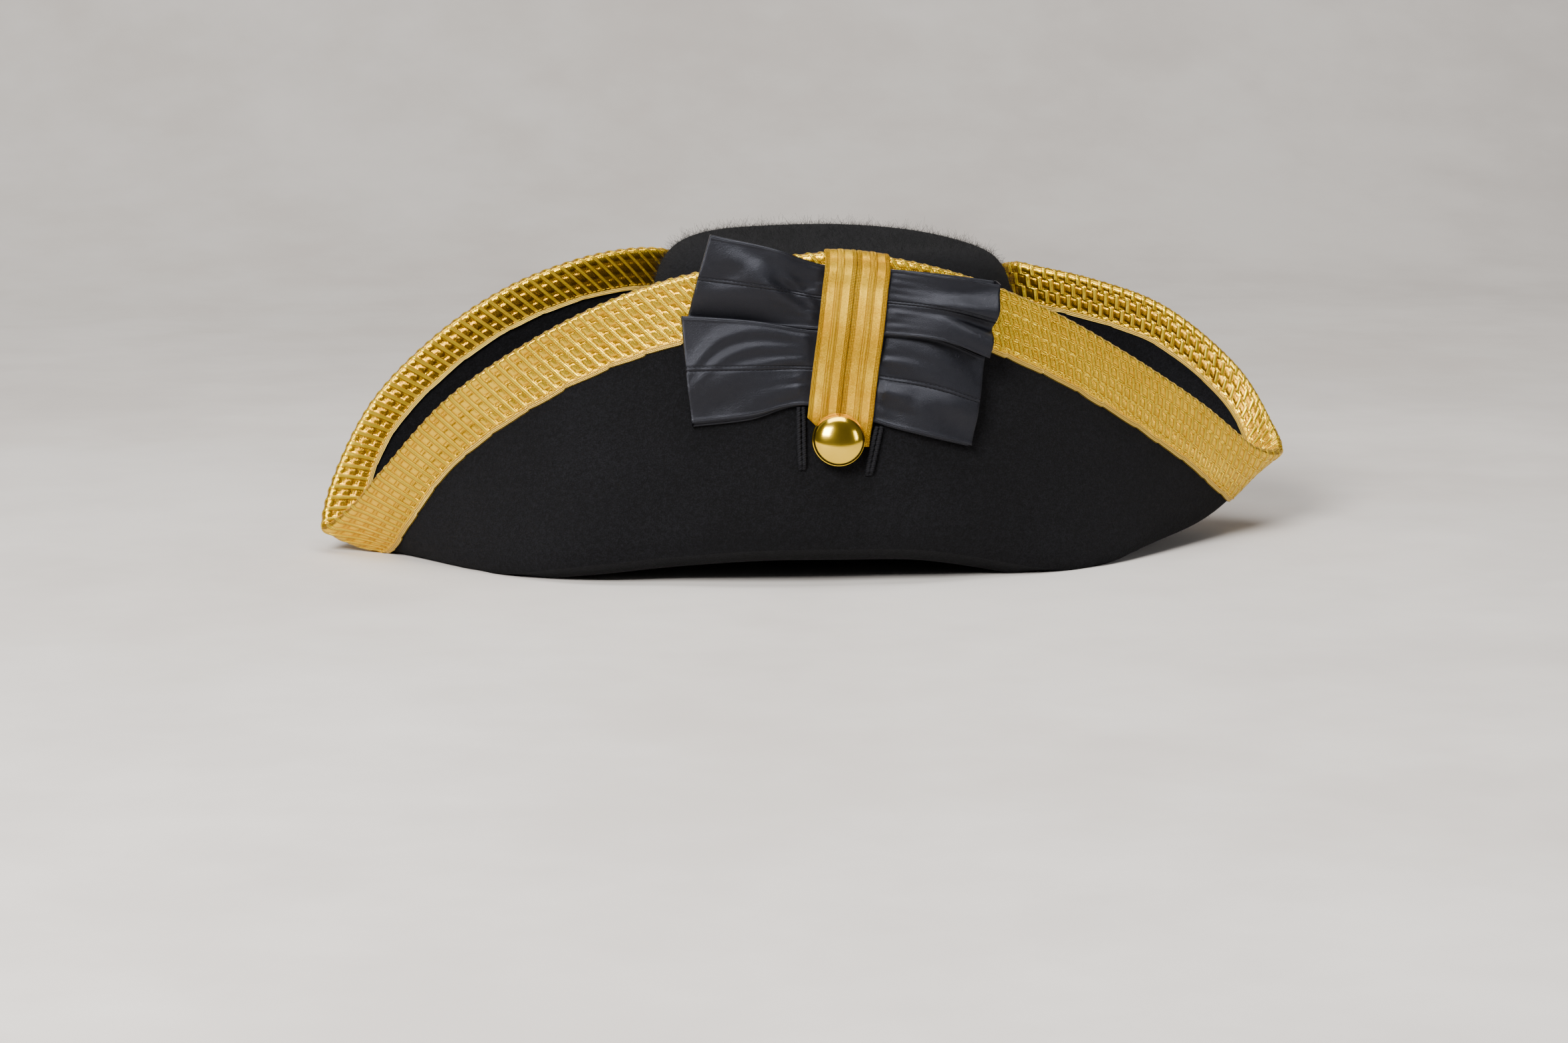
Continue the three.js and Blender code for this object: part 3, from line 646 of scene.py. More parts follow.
def selvedge_wave(run, seed, low, high, depth):
    """The border creeps out and springs back where the sewing thread pulls it in."""
    rng = np.random.default_rng(seed)
    pulls = np.cumsum(rng.uniform(low, high, 120)) - 20
    sizes = rng.uniform(0.35, 1.0, 120)
    k = np.searchsorted(pulls, run, side="right") - 1
    share = (run - pulls[k]) / (pulls[k + 1] - pulls[k])
    creep = 0.6 * (share - 0.5 - ramp(share, 0.955, 1.0))
    bulge = 0.5 * (np.sqrt(np.sin(math.pi * np.clip(share, 0, 1))) - 0.75)
    return depth * (sizes[k] * (creep + bulge) + 0.2 * np.sin(run / 5.3) * np.sin(run / 17.0))


def tape_relief(along, across, length):
    """Height of the weave in mm, and marks: distances to the nearest rope, bar and selvedge in
    mm, and how steep the weave is."""
    lie = smooth(tape_lie, along[:, 0], length)
    slant, step, tall = (lie[:, k][:, None] for k in (1, 2, 3))
    lean = along - slant * across
    row = np.floor(across / tall)
    x = lean - step * tape_pitch * row
    rope = np.abs((x + tape_pitch / 2) % tape_pitch - tape_pitch / 2)
    # two short bars lead from each rope to the next row's
    border = np.round(across / tall)
    from_border = np.abs(across - border * tall)
    share = ((lean - step * tape_pitch * (border - 1)) % tape_pitch) / tape_pitch
    bar = from_border + 3.0 * ramp(share, step + 0.04, step + 0.12)
    hem = np.minimum(braid_outer + half_wrap - across, braid_inner + half_wrap + across)
    body = ramp(hem, 2.2, 3.0)
    ropes = np.sqrt(np.clip(1 - (rope / rope_half) ** 2, 0, 1))
    steep = ramp(slant, 0.55, 0.8) + 0 * across
    lines = (1 - steep) * np.sqrt(np.clip(1 - ((bar - 0.55) / 0.42) ** 2, 0, 1))
    width = tape_pitch / 2 - 1.15
    dome = np.clip(1 - ((tape_pitch / 2 - rope) / width) ** 2, 0, 1)
    span = np.clip(1 - ((tall / 2 - from_border) / (tall / 2 - 1.15)) ** 4, 0, 1)
    domes = np.sqrt(dome * span)
    cords = np.abs(np.sin(math.pi * hem / selvedge_cord)) * ramp(hem, -0.1, 0.3)
    relief = body * np.maximum(0.55 * ropes, np.maximum(0.26 * lines, 0.42 * domes))
    relief += (1 - body) * 0.30 * cords
    return relief, {"rope": rope, "bar": bar, "hem": hem, "steep": steep}


def edge_braid():
    """The tape in four lengths that meet end to end."""
    coarse = all_walls(0.25)
    coarse = np.r_[coarse, coarse[0] + 360]
    run = run_of(brim_frame(coarse)[2])
    length = run[-1]
    quarter = int(round(length / weave_step / 4))
    count = 4 * quarter
    u = np.arange(count + 1) * length / count
    walls = np.interp(u, run, coarse)
    outer_leg = np.linspace(braid_outer, 0, 59)
    inner_leg = np.linspace(0, braid_inner, 38)
    turns = np.radians(np.linspace(0, 180, 13)[1:-1])
    ripple = selvedge_wave(u, 3, 16, 30, 1.25)[:, None] * ramp(outer_leg, 22, 30)
    ripple_in = selvedge_wave(u, 5, 18, 34, 0.7)[:, None] * ramp(inner_leg, 13, 19)
    pucker = 0.22 * np.sin(u / 2.9 + 2 * np.sin(u / 23))[:, None]
    base, way = flap_points(walls, [], outer_leg)
    normals = unit(np.cross(np.gradient(base, axis=1), np.gradient(base, axis=0)))
    normals[:, -1] = unit(np.cross(way, np.gradient(base[:, -1], axis=0)))
    across = np.r_[half_wrap + outer_leg, half_wrap * (1 - 2 * turns / math.pi),
                   -half_wrap - inner_leg]
    along = np.repeat(u[:, None], len(across), 1)
    relief, marks = tape_relief(along, np.repeat(across[None], len(u), 0), length)
    n_out, n_in, n_turn = len(outer_leg), len(inner_leg), len(turns)
    down = -unit(np.gradient(base, axis=1))
    spot = np.interp(inner_leg, outer_leg[::-1], np.arange(n_out)[::-1])
    k = np.clip(np.floor(spot).astype(int), 0, n_out - 2)
    share = (spot - k)[None, :, None]
    outer = base + down * ripple[..., None]
    inner = base[:, k] * (1 - share) + base[:, k + 1] * share + down[:, k] * ripple_in[..., None]
    turned = unit(normals[:, k] * (1 - share) + normals[:, k + 1] * share)

    waves = np.concatenate([pucker * ramp(outer_leg, 24, 30), 0 * pucker * turns,
                            pucker * ramp(inner_leg, 14, 19)], 1)
    lift = braid_lift + relief + np.abs(waves)
    lift[:, [0, -1]] = braid_seat + 0.3
    lift = lift[..., None]
    bend = (way[:, None] * np.sin(turns)[None, :, None]
            - normals[:, -1:] * np.cos(turns)[None, :, None])
    face = np.concatenate([outer - normals * lift[:, :n_out],
                           base[:, -1:] + bend * lift[:, n_out:n_out + n_turn],
                           inner + turned * lift[:, n_out + n_turn:]], 1)
    few_out = np.r_[0:n_out:8, n_out - 1]
    few_in = np.unique(np.r_[0:n_in:8, n_in - 1])
    under_out = (outer - normals * braid_seat)[:, few_out]
    under_in = (inner + turned * braid_seat)[:, few_in]
    loop = np.concatenate([face, under_in[:, ::-1], under_out[:, ::-1]], 1)
    loop[..., 2] = np.maximum(0.05, loop[..., 2])
    size = loop.shape[1]
    flat = np.r_[across, across[n_out + n_turn:][few_in][::-1], across[few_out][::-1]]
    spare = np.full((len(u), size - len(across)), 3.0)
    marks = {key: np.concatenate([values, spare], 1) for key, values in marks.items()}
    pieces = []
    for k in range(4):
        part = slice(k * quarter, (k + 1) * quarter + 1)
        own = {key: values[part] for key, values in marks.items()}
        pieces.append(make_piece(f"braid_{k + 1}", loop[part], tube_faces(quarter + 1, size),
                                 gold_braid, (u[part, None], flat), own))
    sewn = (half_wrap + braid_outer - sewing_inset, sewing_inset - half_wrap - braid_inner)
    return pieces, [face[:, int(np.argmin(abs(across - v)))] for v in sewn]


flap_step = 2.0


class FrontFlap:
    """The front flap as a plate: depth of the felt's middle over places across and up."""

    def __init__(self):
        # bearings that take in everything under the bow
        walls = np.arange(212, 329, 0.75)
        shares = np.linspace(0.15, 0.97, 24)
        below = np.linspace(braid_outer, 0, 12)
        grid, way = flap_points(walls, shares, below)
        above = grid[:, -1] + way * brim_width / 5
        grid = np.concatenate([grid, above[:, None]], 1)
        rows, columns = grid.shape[:2]
        tree = BVHTree.FromPolygons(grid.reshape(-1, 3).tolist(), grid_faces(rows, columns))
        self.x = np.arange(-120, 110, flap_step)
        self.z = np.arange(20, 190, flap_step)
        depth = np.full((len(self.x), len(self.z)), np.nan)
        for i, x in enumerate(self.x):
            for j, z in enumerate(self.z):
                hit = tree.ray_cast(Vector((x, -400.0, z)), Vector((0, 1, 0)))[0]
                if hit is not None:
                    depth[i, j] = hit.y
        for j in range(len(self.z)):
            known = ~np.isnan(depth[:, j])
            if known.any():
                depth[:, j] = np.interp(self.x, self.x[known], depth[known, j])
        self.depth = depth
        self.slope_x, self.slope_z = np.gradient(depth, flap_step, flap_step)
        # the brim edge over places across
        fine = np.arange(222, 319, 0.25)
        pts, way = flap_points(fine, [], [1.0, 0.0])
        out = unit(np.cross(way, np.gradient(pts[:, 1], axis=0)))
        order = np.argsort(pts[:, 1, 0])
        self.edge = [a[order] for a in (pts[:, 1], out, way)]

    def field(self, table, x, z):
        i = np.clip((np.asarray(x) - self.x[0]) / flap_step, 0, len(self.x) - 1.001)
        j = np.clip((np.asarray(z) - self.z[0]) / flap_step, 0, len(self.z) - 1.001)
        a, b = i.astype(int), j.astype(int)
        s, t = i - a, j - b
        return ((table[a, b] * (1 - s) + table[a + 1, b] * s) * (1 - t)
                + (table[a, b + 1] * (1 - s) + table[a + 1, b + 1] * s) * t)

    def lifted(self, x, z, lift):
        """Points over the flap: across, up, and how far off the middle of the felt."""
        out = np.stack([self.field(self.slope_x, x, z), -np.ones(np.shape(x)),
                        self.field(self.slope_z, x, z)], -1)
        p = np.stack([x, self.field(self.depth, x, z), z], -1)
        return p + unit(out) * np.asarray(lift)[..., None]

    def edge_at(self, x):
        """Point of the edge, the way to the crown and the way up, over places across."""
        places = self.edge[0][:, 0]
        return [np.stack([np.interp(x, places, table[:, c]) for c in range(3)], -1)
                for table in self.edge]


flap = FrontFlap()
strap_edge = float(flap.edge_at(strap_top)[0][2])


def stand(braids, ribbons):
    """How far the back of a piece stands off the middle of the felt, over the given layers."""
    return (felt_thickness / 2 + seam_gap + braids * (braid_thickness + seam_gap)
            + ribbons * (ribbon_thickness + seam_gap))


# Bow bands: station, across and up of the lower border, across and up of the upper border, rise
# at the lower and at the upper border, space in the loop, back layer pushed up; all shares of
# ribbon_width from the strap's top at the flap edge.
upper_bow = [
    (-1.0, -3.12, -1.14, -2.66, 0.45, 0.030, 0.124, 0.196, 0.00),
    (-0.6, -1.88, -1.24, -1.62, 0.21, 0.030, 0.064, 0.216, 0.00),
    (-0.2, -0.78, -1.33, -0.60, -0.12, 0.060, 0.014, 0.006, 0.00),
    (0.0, -0.18, -1.39, -0.02, -0.16, 0.114, 0.014, 0.002, 0.00),
    (0.2, 0.43, -1.44, 0.58, -0.21, 0.114, 0.014, 0.006, 0.00),
    (0.6, 1.40, -1.60, 1.60, -0.38, 0.204, 0.064, 0.196, 0.05),
    (1.0, 2.24, -1.96, 2.58, -0.56, 0.244, 0.114, 0.216, 0.07),
]
lower_bow = [
    (-1.0, -3.08, -3.06, -3.20, -1.07, 0.032, 0.140, 0.096, -0.05),
    (-0.6, -2.06, -2.92, -2.00, -1.15, 0.022, 0.140, 0.076, -0.05),
    (-0.2, -1.04, -2.71, -0.84, -1.34, 0.012, 0.050, 0.002, 0.00),
    (0.0, -0.38, -2.80, -0.20, -1.36, 0.012, 0.014, 0.002, 0.00),
    (0.2, 0.22, -3.03, 0.38, -1.38, 0.012, 0.014, 0.002, 0.00),
    (0.6, 1.11, -3.30, 1.37, -1.50, 0.022, 0.014, 0.076, 0.00),
    (1.0, 2.02, -3.55, 2.32, -1.92, 0.032, 0.014, 0.096, 0.00),
]
# Folds in the front layer, as crests that fan out from the strap. Side, heights up the band
# at five places from the strap to the end, swell in mm at the same places, and the width of
# the crest at the strap and at the end as shares of the band.
upper_folds = [
    (-1, (0.15, 0.34, 0.56, 0.78, 0.98), (1.0, 1.6, 2.2, 1.8, 0.8), 0.06, 0.15),
    (-1, (0.30, 0.60, 0.80, 0.90, 0.95), (0.8, 1.0, -0.6, -0.8, 0.0), 0.05, 0.10),
    (-1, (0.66, 0.54, 0.62, 0.70, 0.70), (0.9, -1.5, -0.5, 0.0, 0.0), 0.05, 0.07),
    (-1, (0.86, 0.88, 0.90, 0.60, 0.40), (0.8, 0.9, 0.5, -0.9, -1.2), 0.05, 0.13),
    (1, (0.30, 0.42, 0.54, 0.60, 0.66), (1.1, 0.6, 0.9, 1.9, 2.3), 0.07, 0.13),
    (1, (0.80, 0.78, 0.78, 0.80, 0.86), (0.9, -0.5, -1.5, -1.7, -0.6), 0.07, 0.16),
    (1, (0.40, 0.40, 0.42, 0.41, 0.40), (-0.5, -0.7, -1.7, -3.2, -3.8), 0.04, 0.07),
    (1, (0.10, 0.14, 0.16, 0.18, 0.16), (0.8, 0.3, 0.3, 1.3, 1.8), 0.05, 0.12),
]
lower_folds = [
    (-1, (0.84, 0.90, 0.88, 0.76, 0.44), (1.3, 1.4, 1.5, 1.7, 1.2), 0.045, 0.075),
    (-1, (0.75, 0.73, 0.70, 0.56, 0.30), (1.0, 1.4, 1.7, 1.4, 0.5), 0.040, 0.060),
    (-1, (0.63, 0.58, 0.51, 0.44, 0.30), (1.2, 1.2, 0.8, 0.3, 0.0), 0.040, 0.060),
    (-1, (0.40, 0.36, 0.40, 0.36, 0.26), (1.3, 0.8, 0.9, 1.5, 0.6), 0.040, 0.130),
    (-1, (0.22, 0.20, 0.16, 0.12, 0.08), (1.8, 1.4, 0.4, -0.9, -0.5), 0.050, 0.110),
    (1, (0.82, 0.84, 0.80, 0.74, 0.66), (1.0, 1.0, 1.3, 1.2, 0.6), 0.045, 0.090),
    (1, (0.68, 0.68, 0.64, 0.60, 0.55), (1.4, 1.3, 0.7, 0.4, 0.2), 0.045, 0.070),
    (1, (0.56, 0.52, 0.48, 0.46, 0.44), (-0.9, -0.8, -0.5, -0.3, 0.0), 0.035, 0.060),
    (1, (0.36, 0.32, 0.26, 0.20, 0.10), (3.0, 2.3, 0.2, -0.9, -0.5), 0.065, 0.120),
    (1, (0.14, 0.20, 0.30, 0.36, 0.36), (0.8, -0.7, 1.0, 1.9, 1.4), 0.045, 0.150),
]


def folds_of(folds, station, height):
    """Swell of the front layer in mm at stations along and heights across the band."""
    out = np.clip((np.abs(station) - 0.2) / 0.8, 0, 1)
    start = ramp(np.abs(station), 0.19, 0.27)
    spots = (0, 0.25, 0.5, 0.75, 1)
    swell = 0.22 * start * np.exp(-6 * out) * np.sin(height * 57 + 3 * out)
    for side, heights, sizes, narrow, wide in folds:
        crest = smooth(list(zip(spots, heights)), out)[..., 1]
        size = smooth(list(zip(spots, sizes)), out)[..., 1]
        width = 1.3 * (narrow + (wide - narrow) * out ** 0.7)
        there = (np.sign(station) == side) * size * start
        swell += there * np.exp(-((height - crest) / width) ** 2)
    return swell


def bow_band(name, rows, low_braids, folds, tucked):
    """A flattened loop of two ribbons sewn edge to edge: front layer, fold, back layer, fold."""
    seat_low = stand(low_braids, 0) + ribbon_thickness / 2
    seat_high = stand(1, 0) + ribbon_thickness / 2
    seam = np.linspace(-0.045, 0.045, 9)
    heights = np.r_[0, 0.02, 0.037, 0.044, np.linspace(0.06, 0.44, 22), 0.5 + seam,
                    np.linspace(0.56, 0.94, 22), 0.956, 0.963, 0.98, 1]
    stations = np.linspace(-1, 1, 161)
    v, s = np.meshgrid(heights, stations, indexing="ij")
    r = smooth(rows, s)
    back = ((seat_low + r[..., 5] * ribbon_width) * (1 - v)
            + (seat_high + r[..., 6] * ribbon_width) * v)
    puff = r[..., 7] * ribbon_width * (1 + 0.3 * np.sin(math.pi * v) * np.abs(s))
    if tucked:
        # at the left the lower band lies over this one, which dips behind it
        puff *= 1 - 0.85 * (1 - ramp(v, 0.0, 0.42)) * ramp(-s, 0.2, 0.4)
    # the upper ribbon laps over the lower one, with two rows of stitches that pull it in
    lap = 0.28 * ramp(v, 0.47, 0.485) * (1 - 0.9 * ramp(v, 0.485, 0.75))
    pull = 0.40 * np.exp(-((v - 0.478) / 0.010) ** 2) + 0.30 * np.exp(-((v - 0.515) / 0.010) ** 2)
    hem = 0.14 * (ramp(v, 0.955, 0.965) + 1 - ramp(v, 0.035, 0.045))
    swell = folds_of(folds, s, v) + lap + hem - pull
    front = back + ribbon_thickness + seam_gap + puff
    front = np.maximum(front + swell, back + satin_thickness + 0.1)

    def at(lift, shift):
        x = r[..., 1] * (1 - v) + r[..., 3] * v
        z = r[..., 2] * (1 - v) + r[..., 4] * v + shift * r[..., 8]
        return flap.lifted(strap_top + x * ribbon_width, strap_edge + z * ribbon_width, lift)

    near, far = at(front, 0), at(back, 1)

    def turn_over(a, b, inner):
        mid = (a + b) / 2
        out = unit(mid - inner)
        half = np.linalg.norm(a - b, axis=1, keepdims=True) / 2
        angles = np.radians(np.linspace(0, 180, 11)[1:-1])
        return np.stack([mid + (a - mid) * math.cos(t) + out * 0.9 * half * math.sin(t)
                         for t in angles], 1)

    right = turn_over(near[:, -1], far[:, -1], near[:, -2])
    left = turn_over(far[:, 0], near[:, 0], near[:, 1])
    loop = np.concatenate([near, right, far[:, ::-1], left], 1)
    steps = np.linalg.norm(np.diff(loop, axis=1), axis=2).mean(0)
    run = np.r_[0, np.cumsum(steps)]
    around = np.roll(loop, -1, 1) - np.roll(loop, 1, 1)
    normal = unit(np.cross(around, np.gradient(loop, axis=0)))
    skins = np.concatenate([loop + normal * satin_thickness / 2,
                            (loop - normal * satin_thickness / 2)[::-1]], 0)
    faces = grid_faces(*skins.shape[:2], round_rows=True, round_columns=True)
    up_band = np.r_[heights, heights[::-1]][:, None] * band_width
    piece = make_piece(name, skins, faces, satin, (run, up_band))
    length = run[-1] + np.linalg.norm(loop[:, 0] - loop[:, -1], axis=1).mean()
    rows_beside_seam = (28, 31)
    seams = [near[k] + normal[k, :len(stations)] * satin_thickness / 2 for k in rows_beside_seam]
    return piece, length, seams


# Strap
strap_bed = [
    (0, 0, 1, 0), (0.12, 0.024, 1, 2), (0.56, 0.068, 1, 2), (1.08, 0.132, 1, 2),
    (1.48, 0.132, 1, 2), (1.92, 0.048, 1, 2), (2.48, 0.048, 0, 2), (3.00, 0.028, 0, 2),
    (3.20, 0.032, 0, 0), (3.32, 0.024, 0, 0), (4.80, 0.024, 0, 0),
]
# Way down to the slanted end beyond the button's middle, shares of strap_width: outer border,
# middle, border at the slit.
strap_end = {-1: (-0.667, -0.233, 0.2), 1: (0.067, 0.133, 0.2)}


def strap_stand(down):
    bed = smooth(strap_bed, down / ribbon_width)
    return stand(bed[..., 2], bed[..., 3]) + bed[..., 1] * ribbon_width


def strap_relief(across):
    """Height of the lengthwise bands over the strap's back, in mm."""
    side = np.abs(across)
    half = strap_width / 2
    border = ramp(side, 4.9, 5.3) * np.sqrt(np.clip(1 - ((side - 6.25) / 1.4) ** 2, 0, 1))
    middle = np.sqrt(np.clip(1 - (side / 1.75) ** 2, 0, 1))
    bands = np.sqrt(np.clip(1 - ((side - 3.35) / 1.75) ** 2, 0, 1))
    relief = np.maximum(0.42 * middle, np.maximum(0.36 * border, 0.24 * bands))
    return 0.62 + relief * ramp(half - side, -0.05, 0.25)


def strap(side):
    """One braid of the strap, up the inside of the flap, over its edge and down over the bow."""
    half = strap_width / 2
    centre = strap_top + side * (half + seam_gap / 2)
    off = np.linspace(-half, half, 41)
    drop = strap_edge - button_up
    slope = (strap_top - button_across) / drop
    point, out, way = flap.edge_at(centre + off)
    near = stand(1, 0)

    def surface(lift):
        rows = []
        for down in np.linspace(1, 0.08, 14):
            rows.append(point + out * (near + lift + seam_gap * down)[:, None]
                        - way * strap_inside * down)
        for angle in np.radians(np.linspace(180, 0, 15)):
            reach = (near + lift)[:, None]
            rows.append(point - out * reach * math.cos(angle) + way * reach * math.sin(angle))
        outer, middle, slit = strap_end[side]
        slant = np.interp(side * off, [-half, 0, half], [slit, middle, outer]) * strap_width
        for share in np.linspace(0.012, 1, 104):
            down = share * (drop + slant)
            rows.append(flap.lifted(centre + off - slope * down, point[:, 2] - down,
                                    strap_stand(down) + lift))
        return np.array(rows)

    top = surface(strap_relief(off))
    back = surface(np.zeros(len(off)) + 0.05)[:, ::8]
    loop = np.concatenate([top, back[:, ::-1]], 1)
    cloth = (run_of(top[:, len(off) // 2])[:, None], np.r_[off, off[::8][::-1]])
    name = "strap_braid_left" if side < 0 else "strap_braid_right"
    return make_piece(name, loop, tube_faces(*loop.shape[:2]), gold_strap, cloth)


# Button
def button():
    x, z = np.array(button_across), np.array(button_up)
    foot_lift = strap_stand(strap_edge - button_up) + strap_thickness + seam_gap
    foot = flap.lifted(x, z, foot_lift)
    out = unit(flap.lifted(x, z, foot_lift + 1) - foot)
    base = foot + out * button_shank
    a = unit(np.array([1.0, 0, 0]) - out * out[0])
    b = np.cross(out, a)
    radius = button_diameter / 2
    # distance from the axis as a share of the radius, and height above the back in mm
    profile = [(0.0, -button_shank), (0.28, -button_shank), (0.30, -0.4), (0.36, 0.0), (0.86, 0.0)]
    for t in np.radians(np.linspace(-80, 80, 9)):
        profile.append((0.955 + 0.045 * math.cos(t), 1.05 + 1.0 * math.sin(t)))
    for t in np.radians(np.linspace(85, 0, 35)):
        profile.append((0.962 * math.sin(t) ** 0.95, 2.0 + (button_height - 2.0) * math.cos(t)))
    rows, n = [], 96
    t = np.linspace(0, turn, n, endpoint=False)
    for r, h in profile[1:-1]:
        ring = (a * np.cos(t)[:, None] + b * np.sin(t)[:, None]) * (r * radius)
        rows.append(base + out * h + ring)
    points = np.vstack(rows + [foot[None], (base + out * button_height)[None]])
    return make_piece("dome_button", points, dome_faces(len(rows), n), brass)


# Cords
def bow_foot(across):
    s = np.arange(-1, 1, 0.02)
    r = smooth(lower_bow, s)
    near = np.abs(strap_top + r[:, 1] * ribbon_width - across) < 1.5 * cord_diameter
    return (strap_edge + (r[:, 2] + np.minimum(0, r[:, 8])) * ribbon_width)[near].min()


def tie_cord(name, x0, x1, length):
    """Two strands side by side, each of two plies twisted together."""
    z0 = bow_foot(x0) - seam_gap
    t = np.linspace(0, 1, 90)
    around = np.linspace(0, turn, 20, endpoint=False)
    strands, faces, runs = [], [], []
    for lobe in (-1, 1):
        wander = 0.12 * np.sin(t * 5 + lobe)
        x = x0 + (x1 - x0) * t + lobe * (0.5 + wander * 0.3) * cord_diameter * (1 - 0.25 * t ** 6)
        z = z0 - length * t
        height = stand(0, 0) + cord_diameter * (0.52 - 0.62 * ramp(t, 0.90, 1.0))
        centre = flap.lifted(x, z, height)
        ahead = unit(np.gradient(centre, axis=0))
        out = unit(flap.lifted(x, z, height + 1) - centre)
        beside = unit(np.cross(ahead, out))
        run = run_of(centre)
        phase = lobe * run / cord_lay * turn
        ply = np.abs(np.cos(around[None] - phase[:, None] / 2))
        swell = cord_diameter / 2 * (0.78 + 0.22 * ply)
        close = np.sqrt(np.clip(1 - ((np.clip(t, 0, 0.012) - 0.012) / 0.012) ** 2, 0.15, 1))
        swell = swell * close[:, None]
        ring = (centre[:, None] + beside[:, None] * (np.cos(around)[None] * swell)[..., None]
                + out[:, None] * (np.sin(around)[None] * swell)[..., None])
        base = len(strands) * len(t) * len(around)
        own = outward(ring.reshape(-1, 3), tube_faces(len(t), len(around)))
        faces += [[k + base for k in f] for f in own]
        strands.append(ring)
        runs.append(run)
    cloth = (np.array(runs)[..., None], around / turn)
    return make_piece(name, strands, faces, black_cord, cloth)


# Geometry Nodes
class Tree:
    """A geometry node tree with named inputs."""

    def __init__(self, name, **inputs):
        self.tree = bpy.data.node_groups.new(name, "GeometryNodeTree")
        sockets = self.tree.interface
        for way in ("INPUT", "OUTPUT"):
            sockets.new_socket("Geometry", in_out=way, socket_type="NodeSocketGeometry")
        self.values = {}
        for key, value in inputs.items():
            kind = "NodeSocketInt" if isinstance(value, int) else "NodeSocketFloat"
            made = sockets.new_socket(key, in_out="INPUT", socket_type=kind)
            self.values[made.identifier] = value
        self.inputs = self.node("NodeGroupInput").node.outputs

    def node(self, kind, inputs=(), output=0, **settings):
        kind = kind if "Node" in kind else "GeometryNode" + kind
        return add_node(self.tree, kind, inputs, output, settings)

    def math(self, operation, *values):
        return self.node("ShaderNodeMath", enumerate(values), operation=operation)

    def times(self, a, b):
        return self.math("MULTIPLY", a, b)

    def attribute(self, name):
        return self.node("InputNamedAttribute", {"Name": name}, data_type="FLOAT")

    def grow(self, name, host, geometry, material):
        """Ends the tree, runs it on the host object and returns the result as a plain mesh."""
        whole = self.node("RealizeInstances", {0: geometry})
        dressed = self.node("SetMaterial", {0: whole, "Material": material})
        self.tree.links.new(dressed, self.tree.nodes.new("NodeGroupOutput").inputs[0])
        modifier = host.modifiers.new("growth", "NODES")
        modifier.node_group = self.tree
        for key, value in self.values.items():
            modifier[key] = value
        ready = host.evaluated_get(bpy.context.evaluated_depsgraph_get())
        mesh = bpy.data.meshes.new_from_object(ready)
        host.modifiers.remove(modifier)
        mesh.name = name
        return add_object(name, mesh)


def loose_fibres(name, host, seed):
    """Fine bent fibres that stand off the felt, most of them on the crown."""
    g = Tree("loose_fibres", Density=fibre_density, Length=fibre_length, Seed=seed)
    nap = g.attribute("nap")
    points = g.node("DistributePointsOnFaces",
                    {"Mesh": g.inputs["Geometry"], "Density": g.times(nap, g.inputs["Density"]),
                     "Seed": g.inputs["Seed"]})
    # one straight strand that knows how high along it a point lies
    line = g.node("CurvePrimitiveLine", {"End": (0, 0, 1)})
    strand = g.node("ResampleCurve", {"Curve": line, "Count": 3})
    spot = g.node("InputPosition")
    height = g.node("ShaderNodeSeparateXYZ", {0: spot}, output=2)
    strand = g.node("StoreNamedAttribute",
                    {"Geometry": strand, "Name": "tip", "Value": height}, data_type="FLOAT")
    # every strand leans its own way, and a few are much longer than the rest
    lean = g.node("FunctionNodeRandomValue", {0: (-0.9, -0.9, -3.1), 1: (0.9, 0.9, 3.1),
                                              "Seed": g.inputs["Seed"]}, data_type="FLOAT_VECTOR")
    lean = g.node("FunctionNodeEulerToRotation", {0: lean})
    turned = g.node("FunctionNodeRotateRotation", {0: points.node.outputs["Rotation"], 1: lean},
                    rotation_space="LOCAL")
    chance = g.node("FunctionNodeRandomValue", {2: 0.0, 3: 1.0, "Seed": 11}, output=1)
    tall = g.math("MULTIPLY_ADD", g.math("POWER", chance, 7.0), 1.9, 0.32)
    by_nap = g.math("MULTIPLY_ADD", nap, 0.8, 0.2)
    size = g.times(g.times(tall, by_nap), g.inputs["Length"])
    size = g.node("ShaderNodeCombineXYZ", {0: size, 1: size, 2: size})
    laid = g.node("InstanceOnPoints",
                  {"Points": points, "Instance": strand, "Rotation": turned, "Scale": size})
    laid = g.node("RealizeInstances", {0: laid})
    # the strands bend more towards their tips
    curl = g.node("ShaderNodeTexNoise", {"Vector": spot, "Scale": 330.0, "Detail": 1.0}, output=1)
    curl = g.node("ShaderNodeVectorMath", {0: curl, 1: (-0.5, -0.5, -0.5)}, operation="ADD")
    bend = g.times(g.attribute("tip"), fibre_bend)
    curl = g.node("ShaderNodeVectorMath", {0: curl, "Scale": bend}, operation="SCALE")
    laid = g.node("SetPosition", {"Geometry": laid, "Offset": curl})
    ring = g.node("CurvePrimitiveCircle", {"Resolution": 3, "Radius": 1.0})
    ring = g.node("Transform", {"Geometry": ring, "Scale": (fibre_radius,) * 3})
    hair = g.node("CurveToMesh", {"Curve": laid, "Profile Curve": ring})
    return g.grow(name, host, hair, fibre)


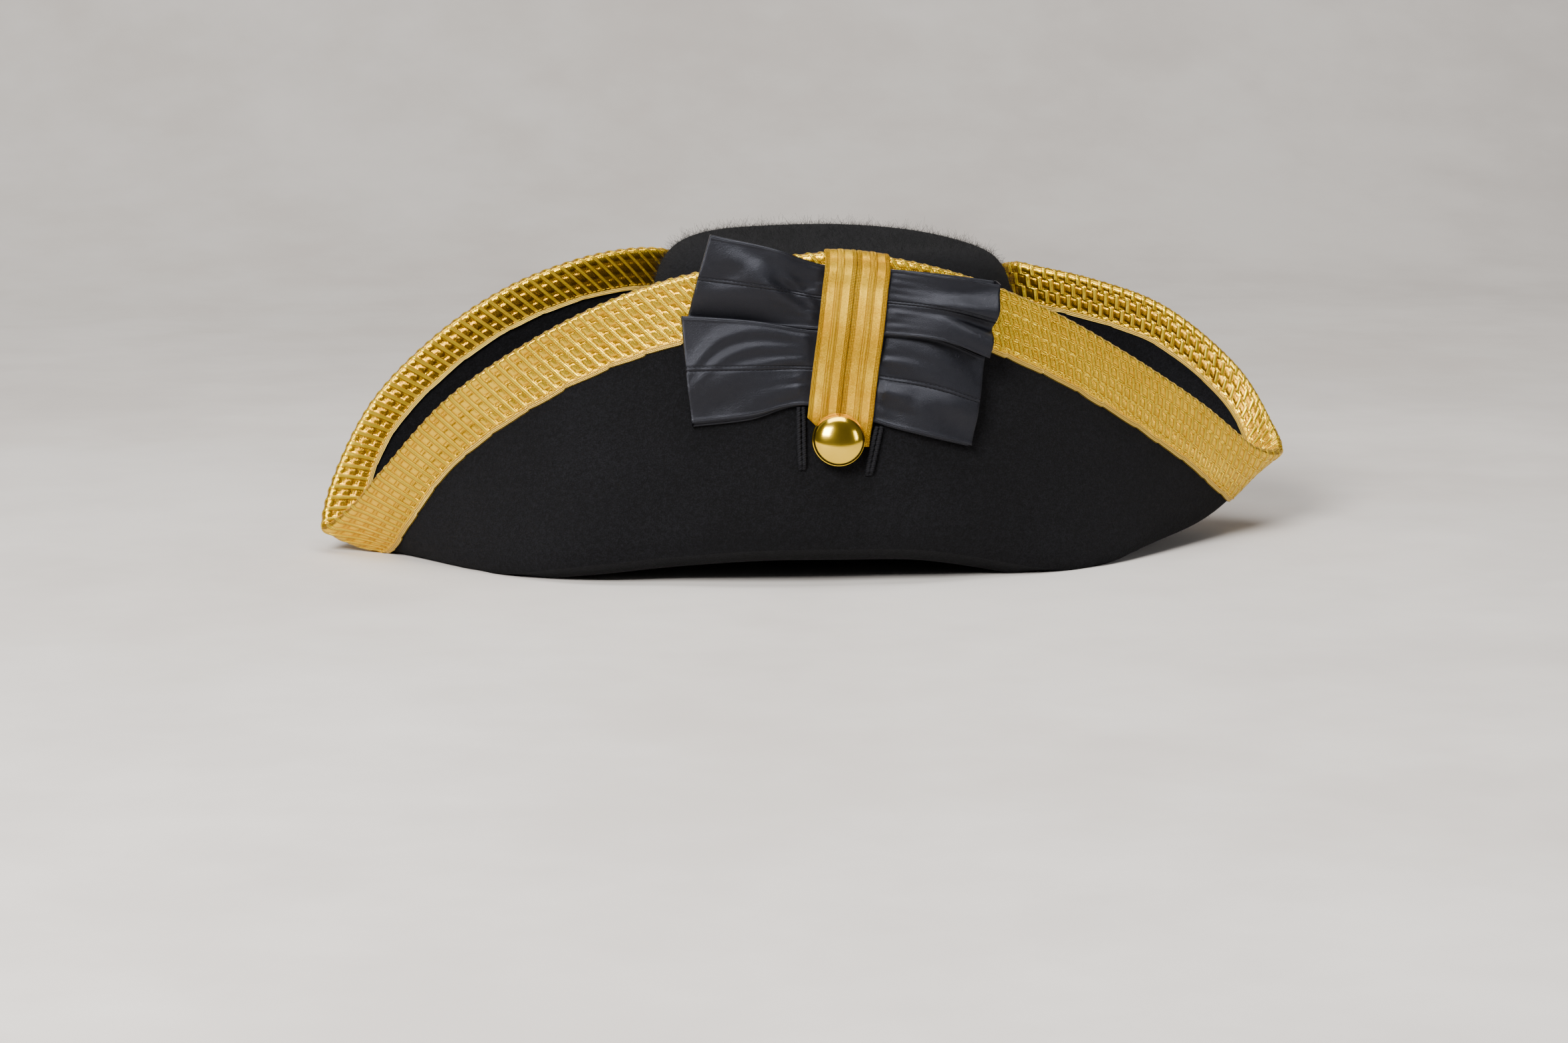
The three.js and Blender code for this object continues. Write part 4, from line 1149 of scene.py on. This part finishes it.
def stitches(name, seams, spacing, thickness, finish):
    """Short stitches that follow seam lines; spacing and half thickness are in mm."""
    points, edges = [], []
    for line in seams:
        base = len(points)
        points += (line * mm).tolist()
        edges += [(base + k, base + k + 1) for k in range(len(line) - 1)]
    mesh = bpy.data.meshes.new(name + "_path")
    mesh.from_pydata(points, edges, [])
    host = add_object(name + "_path", mesh)
    g = Tree(name + "_tree", Spacing=spacing * mm, Thread=thickness * mm)
    path = g.node("MeshToCurve", {0: g.inputs["Geometry"]})
    path = g.node("ResampleCurve", {"Curve": path, "Length": g.inputs["Spacing"]},
                  mode="LENGTH")
    tangent = g.node("InputTangent")
    turned = g.node("FunctionNodeAlignRotationToVector", {"Vector": tangent}, axis="X")
    thread = g.node("MeshUVSphere", {"Segments": 8, "Rings": 6, "Radius": 1.0})
    size = g.node("ShaderNodeCombineXYZ", {0: g.times(g.inputs["Spacing"], 0.40),
                                           1: g.inputs["Thread"], 2: g.inputs["Thread"]})
    laid = g.node("InstanceOnPoints", {"Points": path, "Instance": thread,
                                                   "Rotation": turned, "Scale": size})
    piece = g.grow(name, host, laid, finish)
    bpy.data.objects.remove(host)
    return piece


# The hat
body = felt_body()
fibres = [loose_fibres(f"felt_fibres_{k}", body, 6 + k) for k in (1, 2, 3)]
settle(body, "felt", "felt_body")
for fuzz in fibres:
    settle(fuzz, "felt")
tapes, hem_lines = edge_braid()
for part in tapes:
    settle(part, "gold_braid", "edge_braid")
settle(stitches("braid_stitches", hem_lines, 2.6, 0.28, gold_thread), "gold_braid")
for name, rows, low_braids, folds, tucked, node in (
        ("bow_upper", upper_bow, 1, upper_folds, True, "upper_ribbon"),
        ("bow_lower", lower_bow, 0, lower_folds, False, "lower_ribbon")):
    ribbon, length, seams = bow_band(name, rows, low_braids, folds, tucked)
    thread = stitches(name + "_stitches", seams, 2.1, 0.16, black_cord)
    settle(ribbon, "satin", node)
    settle(thread, "satin")
    length * mm
for side, node in ((-1, "strap_left"), (1, "strap_right")):
    settle(strap(side), "gold_strap", node)
settle(button(), "brass", "button")
for node, start, end, length in (("tie_cord_left", -0.656, -0.66, cord_left),
                                 ("tie_cord_right", 0.80, 0.58, cord_right)):
    cord = tie_cord(node.replace("tie_cord", "twisted_cord"),
                    button_across + start * button_diameter,
                    button_across + end * button_diameter, length)
    settle(cord, "cord", node)


# Stage, light and camera
def toward(azimuth, elevation):
    """The way from the hat to a place around it; azimuth 0 is in front of the bow."""
    a, e = math.radians(azimuth), math.radians(elevation)
    return Vector((math.sin(a) * math.cos(e), -math.cos(a) * math.cos(e), math.sin(e)))


def backdrop():
    f = Finish("pale_backdrop", Roughness=0.9, Specular_IOR_Level=0.2)
    cloud = f.noise(2.6, 5, 0.62)
    fleck = f.noise(14, 4, 0.6)
    tone = f.mix(f.between(cloud * 0.75 + fleck * 0.25, 0.34, 0.66), (0.52, 0.485, 0.455),
                 (0.62, 0.59, 0.56))
    floor, cove, wall_top, half_width = 1.0, 0.9, 4.2, 4.5
    profile = [(-3.2, 0.0), (floor, 0.0)]
    for t in np.radians(np.linspace(0, 90, 17)[1:]):
        profile.append((floor + cove * math.sin(t), cove * (1 - math.cos(t))))
    profile.append((floor + cove, wall_top))
    points = [(x, y, z) for y, z in profile for x in (-half_width, half_width)]
    mesh = bpy.data.meshes.new("studio_sweep")
    mesh.from_pydata(points, [], [face[::-1] for face in grid_faces(len(profile), 2)])
    mesh.materials.append(f.wear(tone))
    mesh.polygons.foreach_set("use_smooth", [True] * len(mesh.polygons))
    add_object("studio_sweep", mesh)


def hang(name, data, place, raised=0.0):
    """Puts a lamp or a camera at a place, turned to the hat."""
    holder = add_object(name, data)
    holder.location = place + Vector((0, 0, raised))
    holder.rotation_euler = (-place).to_track_quat("-Z", "Y").to_euler()
    return holder


def soft_light(name, azimuth, elevation, distance, size, watts, color):
    lamp = bpy.data.lights.new(name, "AREA")
    lamp.shape = "RECTANGLE"
    lamp.size, lamp.size_y = size
    lamp.energy = watts
    lamp.color = color
    hang(name, lamp, toward(azimuth, elevation) * distance, 0.08)


backdrop()
soft_light("key", -34, 34, 2.2, (0.9, 0.8), 100, (1.0, 0.985, 0.96))
soft_light("fill", 56, 18, 2.6, (0.5, 0.9), 12, (0.97, 0.98, 1.0))
soft_light("overhead", 0, 84, 2.2, (1.8, 1.0), 48, (1.0, 0.99, 0.975))
world = bpy.data.worlds.new("studio")
world.use_nodes = True
world.node_tree.nodes["Background"].inputs["Color"].default_value = (0.80, 0.80, 0.82, 1)
world.node_tree.nodes["Background"].inputs["Strength"].default_value = 0.13
bpy.context.scene.world = world

# The photograph is 2358 x 1568; the hat's origin lies at this place in it.
photo_width, photo_height = 2358, 1568
origin_across, origin_down = 1252, 811
camera_azimuth, camera_elevation, camera_distance = -8.0, 10.0, 2.0
pixels_per_metre = 3000.0
camera = bpy.data.cameras.new("camera")
camera.sensor_width = 36.0
camera.lens = camera.sensor_width * camera_distance * pixels_per_metre / photo_width
camera.shift_x = (photo_width / 2 - origin_across) / photo_width
camera.shift_y = (origin_down - photo_height / 2) / photo_width
camera.clip_end = 50
place = toward(camera_azimuth, camera_elevation) * camera_distance
bpy.context.scene.camera = hang("camera", camera, place)
